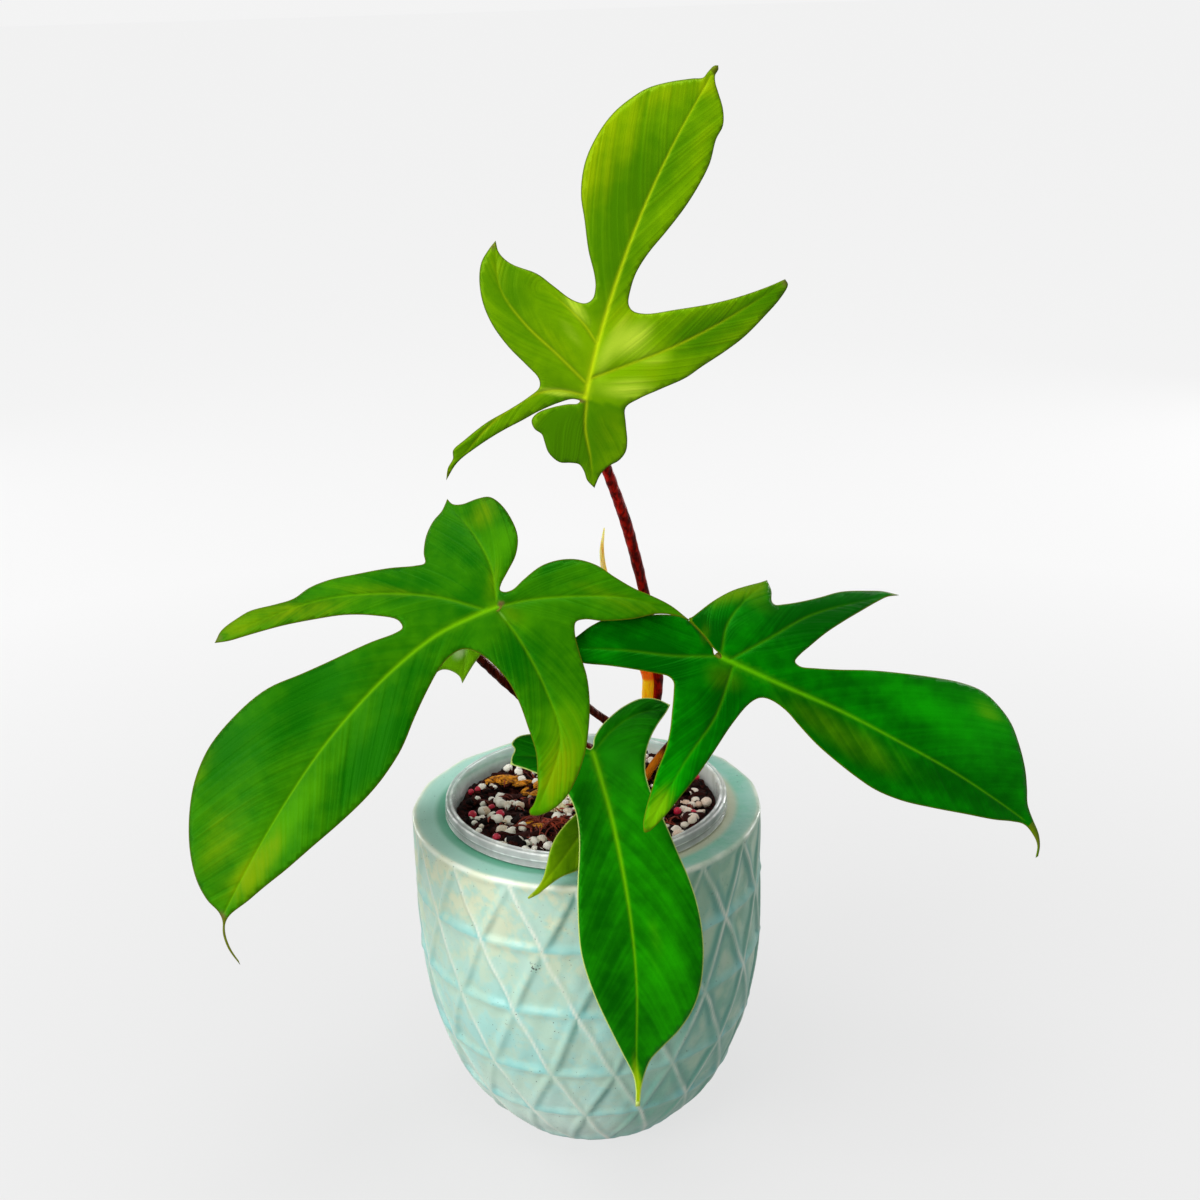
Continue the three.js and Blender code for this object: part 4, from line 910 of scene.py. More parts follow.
def make_blade(name, leaf):
    leaf = UNSPOTTED | leaf
    leaf["routes"] = [smooth_route(np.array(v, float), 6) for v in leaf["veins"]]
    outline = blade_outline(leaf)
    flat = [Vector(p) for p in np.vstack([outline, blade_grid(leaf, outline)])]
    edges = [(i, (i + 1) % len(outline)) for i in range(len(outline))]
    spots, _, triangles, _, _, _ = delaunay_2d_cdt(flat, edges, [], 1, 1e-5)
    x = np.array([p.x for p in spots])
    y = np.array([p.y for p in spots])
    count = len(x)
    places = vein_places(leaf, x, y)
    gap, _ = outline_gap(outline, x, y)
    middle, normal = blade_surface(leaf, x, y)
    vein, groove, crease, rib = vein_relief(leaf, places)
    half_thick = (BLADE_EDGE + (BLADE_THICK - BLADE_EDGE) * smooth_step(0, 3, gap)) / 2
    rim = gap < 1e-3
    crease = np.where(rim, 0, crease * smooth_step(0.3, 2, gap))
    rib = np.where(rim, 0, rib * smooth_step(0.3, 2, gap))
    top = middle + normal * (half_thick - crease)[:, None]
    under = middle - normal * (half_thick + rib)[:, None]
    piece = make_piece(name, np.vstack([top, under]), sheet_faces(x, y, triangles))
    off = np.array([p[0] for p in places])
    nearest = off.argmin(0)
    in_order = np.sort(off, axis=0)
    second = in_order[1] if len(off) > 1 else in_order[0] + 20
    along = np.array([p[1] for p in places])[nearest, np.arange(count)]
    reach = in_order[0]
    lean = np.where(nearest == 0, leaf["rib_lean"], 2.6)
    fields = {
        "vein": vein,
        "groove": groove,
        "edge": gap,
        "streak": along - reach * lean * (1 + reach / 60) + 40 * nearest,
        "reach": reach,
        "calm": smooth_step(0, 7, second - reach),
        # The light spots lighten and darken the green: partly the blade's own patches, partly painted shade
        # and light where a lobe turns from the light or towards it. The overlap shadows are painted shadow.
        "tone": leaf["tone"] + washes(leaf["light_spots"], x, y) - overlap_shadows(leaf["overlap_shadows"], x, y),
        "yellow": washes(leaf["yellow_spots"], x, y),
        "gleam": washes(leaf["highlight_spots"], x, y),
        "dry": washes(leaf["dry_spots"], x, y),
    }
    for label, values in fields.items():
        store(piece, label, np.r_[values, values])
    store(piece, "underside", np.r_[np.zeros(count), np.ones(count)])
    return piece


def washes(spots, x, y):
    """Soft oval spots: each has a place, a half length and width, its turn from the midrib and strength."""
    total = np.zeros_like(x)
    for spot_x, spot_y, long, wide, turn, strength in spots:
        lean = math.radians(turn)
        forward = (x - spot_x) * math.sin(lean) + (y - spot_y) * math.cos(lean)
        aside = (x - spot_x) * math.cos(lean) - (y - spot_y) * math.sin(lean)
        total += strength * np.exp(-((forward / long) ** 2) - (aside / wide) ** 2)
    return total


def overlap_shadows(lines, x, y):
    """Painted shadow: dark on the right of each line, where one lobe lies over its neighbour, fading away
    from it.
    """
    total = np.zeros_like(x)
    for start_x, start_y, end_x, end_y, fade, strength in lines:
        length = math.hypot(end_x - start_x, end_y - start_y)
        step_x, step_y = (end_x - start_x) / length, (end_y - start_y) / length
        forward = (x - start_x) * step_x + (y - start_y) * step_y
        aside = (x - start_x) * step_y - (y - start_y) * step_x
        inside = smooth_step(-1.5, 0.5, forward) * smooth_step(-1.5, 0.5, length - forward)
        total += strength * inside * smooth_step(-0.3, 0.3, aside) * np.exp(-np.maximum(aside, 0) / fade)
    return total


def leaf_skin_group():
    """Leaf skin: deep, fresh and yellow greens, streaks between side veins, painted highlights, painted shade
    in the grooves, pale veins and margin.
    """
    group = bpy.data.node_groups.new("leaf skin", "ShaderNodeTree")
    for label in ("Deep", "Fresh", "Yellow", "Gleam", "Vein", "Margin", "Underside"):
        group.interface.new_socket(label, in_out="INPUT", socket_type="NodeSocketColor")
    for label in ("Patches", "Streaks"):
        group.interface.new_socket(label, in_out="INPUT", socket_type="NodeSocketFloat")
    for label, kind in (("Color", "NodeSocketColor"), ("Roughness", "NodeSocketFloat"),
    ("Height", "NodeSocketFloat")):
        group.interface.new_socket(label, in_out="OUTPUT", socket_type=kind)
    given = group.nodes.new("NodeGroupInput").outputs
    end = group.nodes.new("NodeGroupOutput")
    bands = []
    for fineness, across in ((0.1, 0.02), (0.33, 0.03)):
        between = group.nodes.new("ShaderNodeCombineXYZ")
        plug(group, times(group, stored(group, "streak"), fineness), between.inputs[0])
        plug(group, times(group, stored(group, "reach"), across), between.inputs[1])
        bands.append(plus(group, clouds(group, between.outputs[0], 1.0, 1), -0.5))
    streaks = plus(group, bands[0], times(group, bands[1], 0.55))
    streaks = times(group, streaks, stored(group, "calm"))
    patches = clouds(group, place_on_object(group), 0.045, 3)
    patches = times(group, plus(group, patches, -0.5), given["Patches"])
    mottle = clouds(group, place_on_object(group), 0.2, 2)
    mottle = times(group, plus(group, mottle, -0.5), 0.6)
    share = plus(group, plus(group, stored(group, "tone"), patches), mottle)
    share = plus(group, share, times(group, streaks, given["Streaks"]))
    colour = mix_colours(group, ramp(group, share, -0.25, 1.15), given["Deep"], given["Fresh"])
    feathered = plus(group, times(group, streaks, 1.2), 1.0)
    yellow = times(group, stored(group, "yellow"), plus(group, feathered, mottle))
    yellow = plus(group, yellow, times(group, patches, 0.3))
    colour = mix_colours(group, ramp(group, yellow, 0.05, 1.0), colour, given["Yellow"])
    # Painted highlight: pale gloss where the blade catches the light.
    gleam = times(group, stored(group, "gleam"), feathered)
    colour = mix_colours(group, ramp(group, gleam, 0.12, 0.9, 0.0, 0.8), colour, given["Gleam"])
    # Painted shade in the grooves along the side veins.
    dark = mix_colours(group, 1.0, colour, GROOVE_SHADE, "MULTIPLY")
    colour = mix_colours(group, stored(group, "groove"), colour, dark)
    colour = mix_colours(group, stored(group, "vein"), colour, given["Vein"])
    colour = mix_colours(group, ramp(group, stored(group, "dry"), 0.2, 0.9), colour, DRY_BROWN)
    colour = mix_colours(group, stored(group, "underside"), colour, given["Underside"])
    at_edge = ramp(group, stored(group, "edge"), 0.1, 0.55, 0.8, 0.0)
    colour = mix_colours(group, at_edge, colour, given["Margin"])
    plug(group, colour, end.inputs["Color"])
    plug(group, ramp(group, streaks, -0.3, 0.3, 0.34, 0.44), end.inputs["Roughness"])
    plug(group, streaks, end.inputs["Height"])
    return group


leaf_skin = leaf_skin_group()


def leaf_material(name, colours, gleam, patches=0.7, streaks=0.45, specular=0.35):
    material, tree, skin = new_material(name, 0.4, specular)
    skin.inputs["Specular Tint"].default_value = gleam
    node = tree.nodes.new("ShaderNodeGroup")
    node.node_tree = leaf_skin
    for label, colour in colours.items():
        node.inputs[label].default_value = colour
    node.inputs["Patches"].default_value = patches
    node.inputs["Streaks"].default_value = streaks
    tree.links.new(node.outputs["Color"], skin.inputs["Base Color"])
    tree.links.new(node.outputs["Roughness"], skin.inputs["Roughness"])
    add_bump(tree, skin, node.outputs["Height"], 0.35)
    return material


TOP_LEAF = {
    "joint": (5.1, -40.6, 317.6),
    "along": (0.395, 0.006, 0.919),
    "faces": (-0.013, -1, 0.012),
    "spread": 5,
    "wave": 0.5,
    "phase": 0.4,
    "bends": [(0, 150, 14), (-52, 85, 9), (38, 95, 12), (-143, 70, -4), (154, 45, 5)],
    "rib_show": 0.8,
    "vein_show": 0.45,
    "crease_show": 0.75,
    "rib_lean": 1.9,
    "tone": 0.45,
    "light_spots": [
        (-12, 68, 32, 9, -3, -0.55), (5, 82, 26, 5, 0, 0.2), (31, 37, 13, 6, 48, -0.95),
        (46, 56, 10, 5, 50, -0.4), (2, -15, 11, 11, 0, -1.1), (-40, 26, 12, 8, -50, -0.5),
        (-8, 19, 9, 5, -20, 0.4), (-29, 14, 8, 5, -60, -0.3), (-15, 28, 8, 4, -60, 0.4),
        (12, 14, 13, 8, 60, 0.5), (5, 28, 9, 7, 30, 0.8), (18, 25, 9, 5, 50, 0.7),
        (-30, -29, 14, 5, 40, -0.35), (-6, 46, 9, 6, 0, -0.3), (-14, 3, 9, 4, -60, -0.15),
        (-22, 70, 14, 6, 0, -0.2), (-20, 91, 9, 6, 0, 0.3), (-7, -11, 6, 5, 0, -0.3),
        (-3, 86, 10, 4, 0, -0.35), (4, 102, 12, 5, 0, -0.25), (-1, 18, 10, 3, 0, 0.4),
    ],
    "yellow_spots": [
        (-28, 82, 26, 4, -3, 0.6), (-15, 106, 13, 6, 55, 0.45), (-21, 74, 14, 5, 0, 0.4),
        (6, 96, 16, 4, 0, 0.3), (1, 31, 8, 6, 0, 0.5), (43, 42, 14, 3, 50, 0.3),
        (-46, 32, 9, 5, -30, 0.4), (0, 116, 6, 6, 0, 0.5), (-28, 58, 14, 4, -25, 0.3),
        (12, -6, 10, 6, 0, 0.25), (-14, 14, 14, 3, -65, 0.3), (-20, 91, 9, 6, 0, 0.4), (19, 18, 8, 5, 0, 0.3),
    ],
    "highlight_spots": [
        (8, 26, 9, 5.5, 30, 0.7), (13, 9, 11, 4, 65, 0.6), (-15, 29, 8, 2.5, -60, 0.65),
        (-10, -1.5, 8, 1.6, -105, 0.7), (19, 23, 8, 3.5, 50, 0.35), (-13, 20, 9, 2.5, -60, 0.35),
        (2, 30, 7, 3, 0, 0.2), (1, 16, 9, 3, 0, 0.4),
    ],
    "dry_spots": [(1, 121.5, 2.5, 2, 0, 0.8), (51.5, 64, 2.5, 2, 0, 0.7), (-50, 38, 2.5, 2, 0, 0.7),
                  (-36, -45, 3, 2, 0, 0.5), (-1.5, -1.5, 2.5, 0.9, -110, 1)],
    "overlap_shadows": [(0, -0.5, 15, 2.4, 9, 0.5), (-1.5, -2.5, -1, -24, 7, 0.7)],
    "veins": [
        [(0, 0), (-3, 20), (-5, 45), (-5.3, 70), (-3.5, 95), (0, 119)],
        [(0, 8), (10, 17), (20, 26), (33, 40), (51, 63)],
        [(1, -1), (4, -10), (10, -20), (15, -30)],
        [(0, 1), (-10, -1), (-18, -6), (-28, -21), (-36, -45)],
        [(-1, 5), (-15, 11), (-30, 17), (-42, 25), (-49, 38)],
        [(-3.5, 20), (-10, 24.5), (-18, 28), (-28, 31)],
    ],
    "margins": [
        [(0.9, 122.9), (1.5, 121.6), (1.2, 119.5), (2.2, 117.2), (4, 115), (8, 110), (10, 105),
         (9.5, 100), (10.5, 92), (9.8, 84), (8, 75), (5, 65), (2, 56), (0.5, 48), (0.8, 42), (2, 37),
         (4.3, 35.3), (9, 36), (18, 41), (30, 48), (38, 53.5), (46, 60), (51, 64.7)],
        [(51, 64.7), (52.7, 63.3), (52, 58), (49, 50), (45, 41), (40, 33), (35, 26), (31, 20), (24, 13),
         (18, 7), (14.8, 2.3), (17, -3), (20, -9), (21, -13), (20, -17), (17, -21), (15.7, -25),
         (15.6, -30.4)],
        [(15.6, -30.4), (12, -28.5), (9.5, -25.5), (7, -23.8), (4, -24.3), (0, -25.5), (-5, -23.5), (-8, -20),
         (-9.7, -18), (-13, -17), (-15, -14.5), (-14, -11.3), (-10, -7.6), (-5, -4.3), (-1.8, -2.8),
         (-1.4, -1.6), (-4, -1.9), (-8, -4.8), (-13.5, -10.2), (-18, -15.6), (-24, -22.6), (-30, -31),
         (-34.6, -39), (-36, -46.5)],
        [(-36, -46.5), (-37, -42), (-36.5, -38), (-37.5, -35), (-35, -30), (-30, -21.5), (-24, -14),
         (-19, -7), (-16.7, -2.5), (-18, 0.5), (-24, 3.5), (-32, 7), (-40, 12), (-46, 18), (-50, 25),
         (-51.5, 31), (-50.7, 36), (-49.5, 39.8)],
        [(-49.5, 39.8), (-47, 36.5), (-42, 34.6), (-32, 34.8), (-25, 33), (-17, 31), (-12.3, 31.6),
         (-10.5, 34), (-11, 38), (-13, 42), (-18, 49), (-23, 58), (-27.5, 66), (-30, 76), (-29.5, 86),
         (-27, 95), (-23, 102), (-19, 107), (-13, 111.5), (-6, 115.5), (-2.4, 117.3), (-1.6, 119.5),
         (-0.4, 122.2), (0.9, 122.9)],
    ],
}
top_blade = make_blade("top_blade", TOP_LEAF)
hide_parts("blade_top")
top_blade.data.materials.append(leaf_material(
    "young leaf skin",
    {
        "Deep": (0.047, 0.175, 0.0004, 1),
        "Fresh": (0.175, 0.36, 0.0006, 1),
        "Yellow": (0.25, 0.355, 0.0004, 1),
        "Gleam": (0.55, 0.70, 0.05, 1),
        "Vein": (0.52, 0.66, 0.006, 1),
        "Margin": (0.07, 0.09, 0.002, 1),
        "Underside": (0.16, 0.28, 0.02, 1),
    },
    gleam=(0.7, 1.0, 0.02, 1),
))

# Left leaf
# The largest blade, mid green. Its middle lobe hangs forward and ends in a dry brown thread, and the
# lobe over the pot has turned yellower.
LEFT_LEAF = {
    "joint": (-29.7, -51.7, 243.2),
    "along": (-0.674, -0.322, -0.665),
    "faces": (-0.075, -0.865, 0.495),
    "spread": 5,
    "wave": 0.7,
    "phase": 1.7,
    "bends": [(0, 165, 10), (-53, 85, 4), (42, 115, 10), (-129, 80, 10), (114, 50, 8)],
    "rib_show": 0.75,
    "vein_show": 0.3,
    "crease_show": 0.25,
    "rib_lean": 1.25,
    "tone": 0.4,
    "light_spots": [
        (30, 80, 28, 9, 0, -0.5), (38, 67, 14, 6, 40, -0.35), (24, 52, 14, 7, 0, -0.2),
        (8, 44, 22, 5, 0, -0.35), (-1, 66, 28, 7, 0, -0.7), (7, 114, 26, 4.5, -4, 0.75),
        (43, 105, 14, 7, 0, -0.8), (13, 143, 8, 6, 0, -0.3), (13, -24, 10, 4, -20, -0.15),
        (9, -9, 9, 2.5, 150, 0.25), (14, -20, 8, 6, 0, 0.5), (21, -8, 9, 4, 90, -0.4),
        (31, -9, 9, 5, 0, -0.3), (-15, -24, 16, 6, -60, -0.1), (-5, -27, 10, 4, 0, -0.4),
        (-20, 9, 14, 8, -60, -0.5), (-13, 0, 5, 3.5, 0, 0.5), (-44, 16, 9, 7, 0, 0.35),
        (-57, 27, 16, 9, -20, 0.9), (-60, 43, 8, 5, 0, 0.8), (52, 38, 22, 6, 50, 0.1),
        (59, 50, 12, 6, 45, -0.45), (34, 18, 16, 6, 55, -0.45), (9, 5, 9, 6, 0, -0.4),
    ],
    "yellow_spots": [
        (46, 122, 16, 4, -8, 0.35), (21, 134, 13, 9, 0, 0.4), (6, 128, 16, 5, 0, 0.7),
        (28, -23, 8, 6, 0, 0.5), (-6, -1, 8, 4, 90, 0.35), (-57, 31, 15, 7, -20, 0.85),
        (-44, 16, 8, 6, 0, 0.25), (72, 70, 10, 5, 45, 0.5), (8, -7, 8, 3, 150, 0.35),
        (58, 50, 22, 5, 45, 0.6), (-40, -33, 14, 5, -125, 0.3), (36, 22, 22, 2.5, 55, 0.35),
        (-24, -28, 14, 3, -110, 0.25), (3, 136, 8, 5, 0, 0.35), (28, 126, 7, 6, 0, 0.25),
        (22, 114, 7, 5, 0, 0.2),
    ],
    "highlight_spots": [(-3.5, 1.2, 4, 0.7, -80, 0.35)],
    "dry_spots": [(4, 154, 5, 3, 0, 0.7), (-5, 157.5, 10, 3, -70, 1.4), (75, 77, 3, 2.5, 40, 0.6),
                  (-0.6, -1.6, 1.6, 1.2, 0, 1)],
    "overlap_shadows": [(0.5, 0, 3.2, -5, 4, 0.8)],
    "veins": [
        [(0, 0), (4, 8), (10, 22), (14, 42), (15.5, 65), (15, 85), (12, 110), (8, 132), (4, 150)],
        [(3, 4), (20, 12), (40, 27), (55, 43), (75, 77)],
        [(2, -2), (12, -10), (25, -15), (42, -18)],
        [(-1, -1), (-8, -10), (-20, -22), (-35, -34), (-54, -42)],
        [(-2, 1), (-15, 4), (-35, 12), (-50, 22), (-60, 46)],
    ],
    "margins": [
        [(-13, 159.9), (-6, 158.6), (-0.7, 155.9), (2.6, 152.6), (6, 151.2), (12, 150.8), (20, 148),
         (30, 141), (40, 130), (46, 120), (49.5, 108), (49, 92), (46, 78), (40, 66), (33, 52), (27, 40),
         (22.3, 31.5), (21.7, 28.6), (25, 27.6), (33, 32), (42, 39), (50, 47.5), (58, 57), (66, 68),
         (71, 75), (74.8, 79)],
        [(74.8, 79), (76, 74), (74, 66), (72, 61), (66, 53), (62, 47), (60, 40), (56, 33), (49, 24.5),
         (41, 15), (34, 8), (32, 5), (35, 2.5), (39, -3), (41, -9), (41.3, -14), (43.2, -19)],
        [(43.2, -19), (40, -18.8), (37, -21), (34, -26), (31, -29.5), (27, -30.3), (20, -29), (12, -25),
         (7.5, -19), (5.5, -12), (4.4, -7.5), (3.2, -5.4), (1.4, -5.8), (-0.4, -8.4), (-1, -14), (-2.5, -22),
         (-6, -28), (-11, -32.5), (-18, -35.5), (-26, -36.5), (-34, -38), (-40, -40), (-48, -42),
         (-56.5, -42.4)],
        [(-56.5, -42.4), (-51, -40), (-46, -36), (-41, -29), (-33, -21), (-28, -17.5), (-26, -14.5),
         (-28, -11.5), (-34, -7), (-42, -2), (-49, 4.5), (-55, 12), (-60, 20), (-63.6, 29), (-65, 36),
         (-64.6, 41), (-63, 45.5), (-61, 48.3), (-59.2, 49.5)],
        [(-59.2, 49.5), (-58, 48.5), (-57.6, 45.5), (-55.5, 41), (-51.5, 36.5), (-46.5, 31.3), (-38, 26),
         (-30, 21.5), (-22, 18.3), (-13, 17), (-6, 17.5), (-1, 20), (1, 25), (1, 31), (-1, 40), (-4, 50),
         (-8, 62), (-9.5, 73), (-9.5, 83), (-8, 97), (-6, 110), (-4, 122), (-1.5, 133), (0, 141),
         (1.9, 149.5), (1.2, 152.6), (-1.3, 155.3), (-6.3, 157.9), (-13, 159.5)],
    ],
}
left_blade = make_blade("left_blade", LEFT_LEAF)
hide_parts("blade_left")
left_blade.data.materials.append(leaf_material(
    "grown leaf skin",
    {
        "Deep": (0.002, 0.082, 0.0003, 1),
        "Fresh": (0.045, 0.205, 0.0004, 1),
        "Yellow": (0.145, 0.235, 0.0004, 1),
        "Gleam": (0.40, 0.52, 0.25, 1),
        "Vein": (0.15, 0.40, 0.001, 1),
        "Margin": (0.10, 0.12, 0.003, 1),
        "Underside": (0.09, 0.22, 0.02, 1),
    },
    gleam=(0.1, 0.7, 0.005, 1),
    specular=0.28,
))

# Right leaf
# A dark green blade whose middle lobe reaches out sideways to a curved brown drip tip; a slit of light
# shows between the two lobes behind its joint.
RIGHT_LEAF = {
    "joint": (52, -55.5, 222.2),
    "along": (0.858, -0.135, -0.496),
    "faces": (0.106, -0.897, 0.427),
    "spread": 5,
    "wave": 0.7,
    "phase": 0.2,
    "bends": [(0, 145, 8), (-48, 75, 10), (-88, 36, 16), (83, 75, 2), (153, 56, 6)],
    "rib_show": 0.75,
    "vein_show": 0.2,
    "crease_show": 0.3,
    "rib_lean": 1.3,
    "tone": 0.3,
    "light_spots": [
        (-23, 76, 22, 6, 2, 0.5), (-22, 97, 14, 6, 0, 0.25), (-32, 104, 12, 6, 0, 0.75),
        (-1, 46, 14, 8, 0, -0.25), (9, 60, 16, 5, 0, -0.45), (-2, 96, 12, 7, 0, -0.6),
        (11, -36, 14, 9, -110, -0.25), (-3, -26, 12, 3, -110, -0.15), (12, -19, 9, 7, 0, -1.0),
        (-30, 23, 14, 8, -50, -0.8), (-46, 40, 12, 5, -50, -0.3), (15, 8, 10, 6, 80, -0.5),
        (23, 0, 12, 8, 80, -0.15), (54, 7, 16, 5, 85, 0.65), (-5, 118, 12, 7, 0, -0.4),
        (-26, 6, 8, 5, 0, -0.2), (-7, 58, 14, 3, 0, 0.35), (3, 36, 10, 6, 0, -0.3),
        (9, 10, 6, 5, 0, -0.3), (-9, -6, 6, 4, 0, -0.45),
    ],
    "yellow_spots": [
        (-27, -6, 14, 4.5, -55, 0.9), (-33, 0, 5, 4, 0, 0.7), (6, 4, 8, 6, 0, 0.4), (3, 68, 20, 7, 0, 0.3),
        (3, 42, 22, 6, 0, 0.3), (-34, 103, 12, 6, 0, 0.3), (62, 7, 10, 4, 85, 1.0), (-5, -9, 5, 2, -110, 0.4),
        (-26, 4, 9, 5, 0, 0.25),
    ],
    "highlight_spots": [(62, 7, 9, 4, 85, 0.9), (-34, 102, 8, 4, 0, 0.4)],
    "dry_spots": [(1, 140, 6, 3, 0, 0.9), (-59, 52, 3, 2, 0, 0.6)],
    "overlap_shadows": [(0, -3, -6.5, -17, 5, 0.7)],
    "veins": [
        [(0, 1), (-2, 25), (-4.5, 50), (-5.5, 75), (-6, 100), (-5, 120), (-4, 132)],
        [(1, 6), (20, 9), (40, 7), (67, 6.5)],
        [(1, -2), (8, -15), (15, -32), (25, -53)],
        [(-1, 0), (-12, -3), (-24, -1), (-35, 3.3)],
        [(-1, 4), (-15, 13), (-32, 24), (-58, 51)],
    ],
    "margins": [
        [(6.5, 143.8), (2, 142.3), (-0.8, 138.7), (-2.4, 134), (-1, 129), (2, 122), (6, 110), (10, 98),
         (13.5, 86), (15, 75), (14.5, 66), (13, 56), (11, 47), (8, 38), (5.6, 31), (5, 24), (6.3, 20.3),
         (10, 17.8), (20, 15.7), (32, 14.6), (42, 13.5), (53, 11.5), (62, 9.8), (68.5, 7.8)],
        [(68.5, 7.8), (70, 6.3), (67.5, 4.3), (62, 2.5), (55, 1), (48, -0.5), (40, -1.5), (33, -3.5),
         (27, -6), (20, -9), (16.7, -10.8), (15.8, -13.3), (17, -18), (20, -27), (23, -35), (26, -42),
         (28, -49), (28, -56)],
        [(28, -56), (25, -54.5), (20, -50.5), (13, -47.2), (6.8, -42.5), (1.5, -34), (-4, -25), (-6.4, -18.5),
         (-5, -12.1), (-3, -6.9), (-1.4, -3.8), (0.1, -2.6), (0.7, -0.6), (0.1, 0.6), (-0.7, 0), (-1.1, -2),
         (-1.6, -3.8), (-3.1, -6.9), (-5.1, -12.1), (-6.8, -16.8), (-8, -16), (-12, -14.2), (-18, -11.4),
         (-25, -7), (-30, -2.5), (-34, 1.5), (-36.3, 3.5)],
        [(-36.3, 3.5), (-33, 6.5), (-29, 8.2), (-28.3, 9.8), (-30, 12.5), (-34, 17.5), (-40, 24), (-47, 31),
         (-53, 40), (-57, 47), (-59, 53)],
        [(-59, 53), (-56, 49.2), (-51, 45.5), (-44, 41), (-36, 36), (-28, 31.5), (-20, 28), (-15, 26),
         (-12.2, 25.6), (-11.5, 28), (-14, 34), (-18, 42), (-24, 53), (-30, 66), (-35, 78), (-38.5, 88),
         (-40, 97), (-38.5, 105), (-35, 113), (-29, 119.5), (-22, 125), (-15, 129), (-10, 131.7), (-6, 136),
         (-2, 140.8), (2, 143.4), (6.5, 144.6)],
    ],
}
right_blade = make_blade("right_blade", RIGHT_LEAF)
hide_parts("blade_right")
DARK_SKIN = {
    "Deep": (0.0003, 0.064, 0.0003, 1),
    "Fresh": (0.003, 0.255, 0.0004, 1),
    "Yellow": (0.085, 0.20, 0.0006, 1),
    "Gleam": (0.15, 0.42, 0.002, 1),
    "Vein": (0.11, 0.42, 0.001, 1),
    "Margin": (0.11, 0.15, 0.002, 1),
    "Underside": (0.05, 0.18, 0.02, 1),
}
right_blade.data.materials.append(leaf_material("dark leaf skin", DARK_SKIN, gleam=(0.01, 0.7, 0.005, 1)))

# Front leaf
# The smallest blade in front: it arches over the rim and hangs before the planter. Its third lobe is
# tucked under it and comes out at its left, duller and olive.
FRONT_LEAF = {
    "joint": (3.8, -50.3, 182.6),
    "along": (0.085, -0.725, -0.684),
    "faces": (0, -0.686, 0.728),
    "spread": 3,
    "wave": 0.4,
    "phase": 0.9,
    "bends": [(0, 125, 56), (-150, 45, 4), (150, 40, 4)],
    "rib_show": 0.85,
    "vein_show": 0.15,
    "crease_show": 0.0,
    "rib_lean": 1.2,
    "tone": 0.39,
    "light_spots": [
        (-19, 48, 16, 7, 5, 0.1), (-16, 80, 12, 7, 0, 0.5), (5, 66, 28, 7, 0, -0.4), (5, 24, 12, 6, 0, -0.25),
        (-1, 92, 12, 6, 0, -0.45), (26, -3, 11, 9, 90, -0.95), (-12, 30, 12, 5, 0, -0.1),
        (-2.5, 118, 5, 3, 0, 0.6), (-16, -6, 8, 5, 90, 0.4), (-26, -16, 6, 4, 120, -0.7),
        (-34, 11, 8, 5, 0, -0.3), (-29, 74, 18, 3, 0, -0.3), (-14, 19, 8, 5, 0, 0.3),
        (-11, 94, 8, 6, 0, -0.3),
    ],
    "yellow_spots": [(-2.6, 119, 5, 3, 0, 1.0), (-3, 111, 6, 1.5, 0, 0.5), (-15, 72, 12, 4, 0, 0.18)],
    "dry_spots": [(-2.4, 121.5, 2, 2, 0, 0.5)],
    "veins": [
        [(0, 0), (-2, 12), (-4, 25), (-6, 45), (-7, 65), (-6.5, 85), (-4, 105), (-2.5, 120)],
        [(-1, -1), (-8, -8), (-18, -14), (-30, -16)],
        [(2, 0), (12, 0), (30, -3)],
    ],
    "margins": [
        [(-1.6, 122.3), (-2.3, 117), (-1.9, 112.5), (1, 106), (5, 97), (9, 87), (11.6, 78), (12.8, 70),
         (12.3, 58), (11, 47), (9.5, 38), (8.7, 30), (9, 23), (11, 16), (15, 10.5), (20, 7), (26, 3.2),
         (31.7, 0.2)],
        [(31.7, 0.2), (30.8, -3), (29.5, -5.5), (30.5, -8), (28, -10.3), (22, -10.6), (14, -8.5), (7, -5.3),
         (3, -2.8), (0.9, -1.4), (-0.3, -2.5), (-1, -5.5), (-4, -10), (-8.5, -14.2), (-14, -18), (-21, -20.7),
         (-27, -20), (-32, -17.2)],
        [(-32, -17.2), (-30, -14), (-26, -9), (-22.3, -3), (-19.7, 4), (-18.9, 11), (-20, 18), (-22, 24),
         (-25, 33), (-27.5, 41), (-30.5, 50), (-32.5, 59), (-33.2, 68), (-32.6, 77), (-30.5, 86),
         (-27, 93), (-21, 99.5), (-14, 104.5), (-9, 108.3), (-6.3, 112.5), (-4.5, 117), (-3.3, 122.3)],
        [(-3.3, 122.3), (-1.6, 122.3)],
    ],
}
front_blade = make_blade("front_blade", FRONT_LEAF)
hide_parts("blade_front")
FRONT_SKIN = dict(
    DARK_SKIN,
    Deep=(0.001, 0.07, 0.0003, 1),
    Fresh=(0.012, 0.29, 0.0004, 1),
    Yellow=(0.34, 0.46, 0.004, 1),
    Vein=(0.15, 0.44, 0.001, 1),
    Margin=(0.62, 0.74, 0.20, 1),
)
front_blade.data.materials.append(
    leaf_material("front leaf skin", FRONT_SKIN, gleam=(0.05, 0.8, 0.01, 1), streaks=0.75)
)

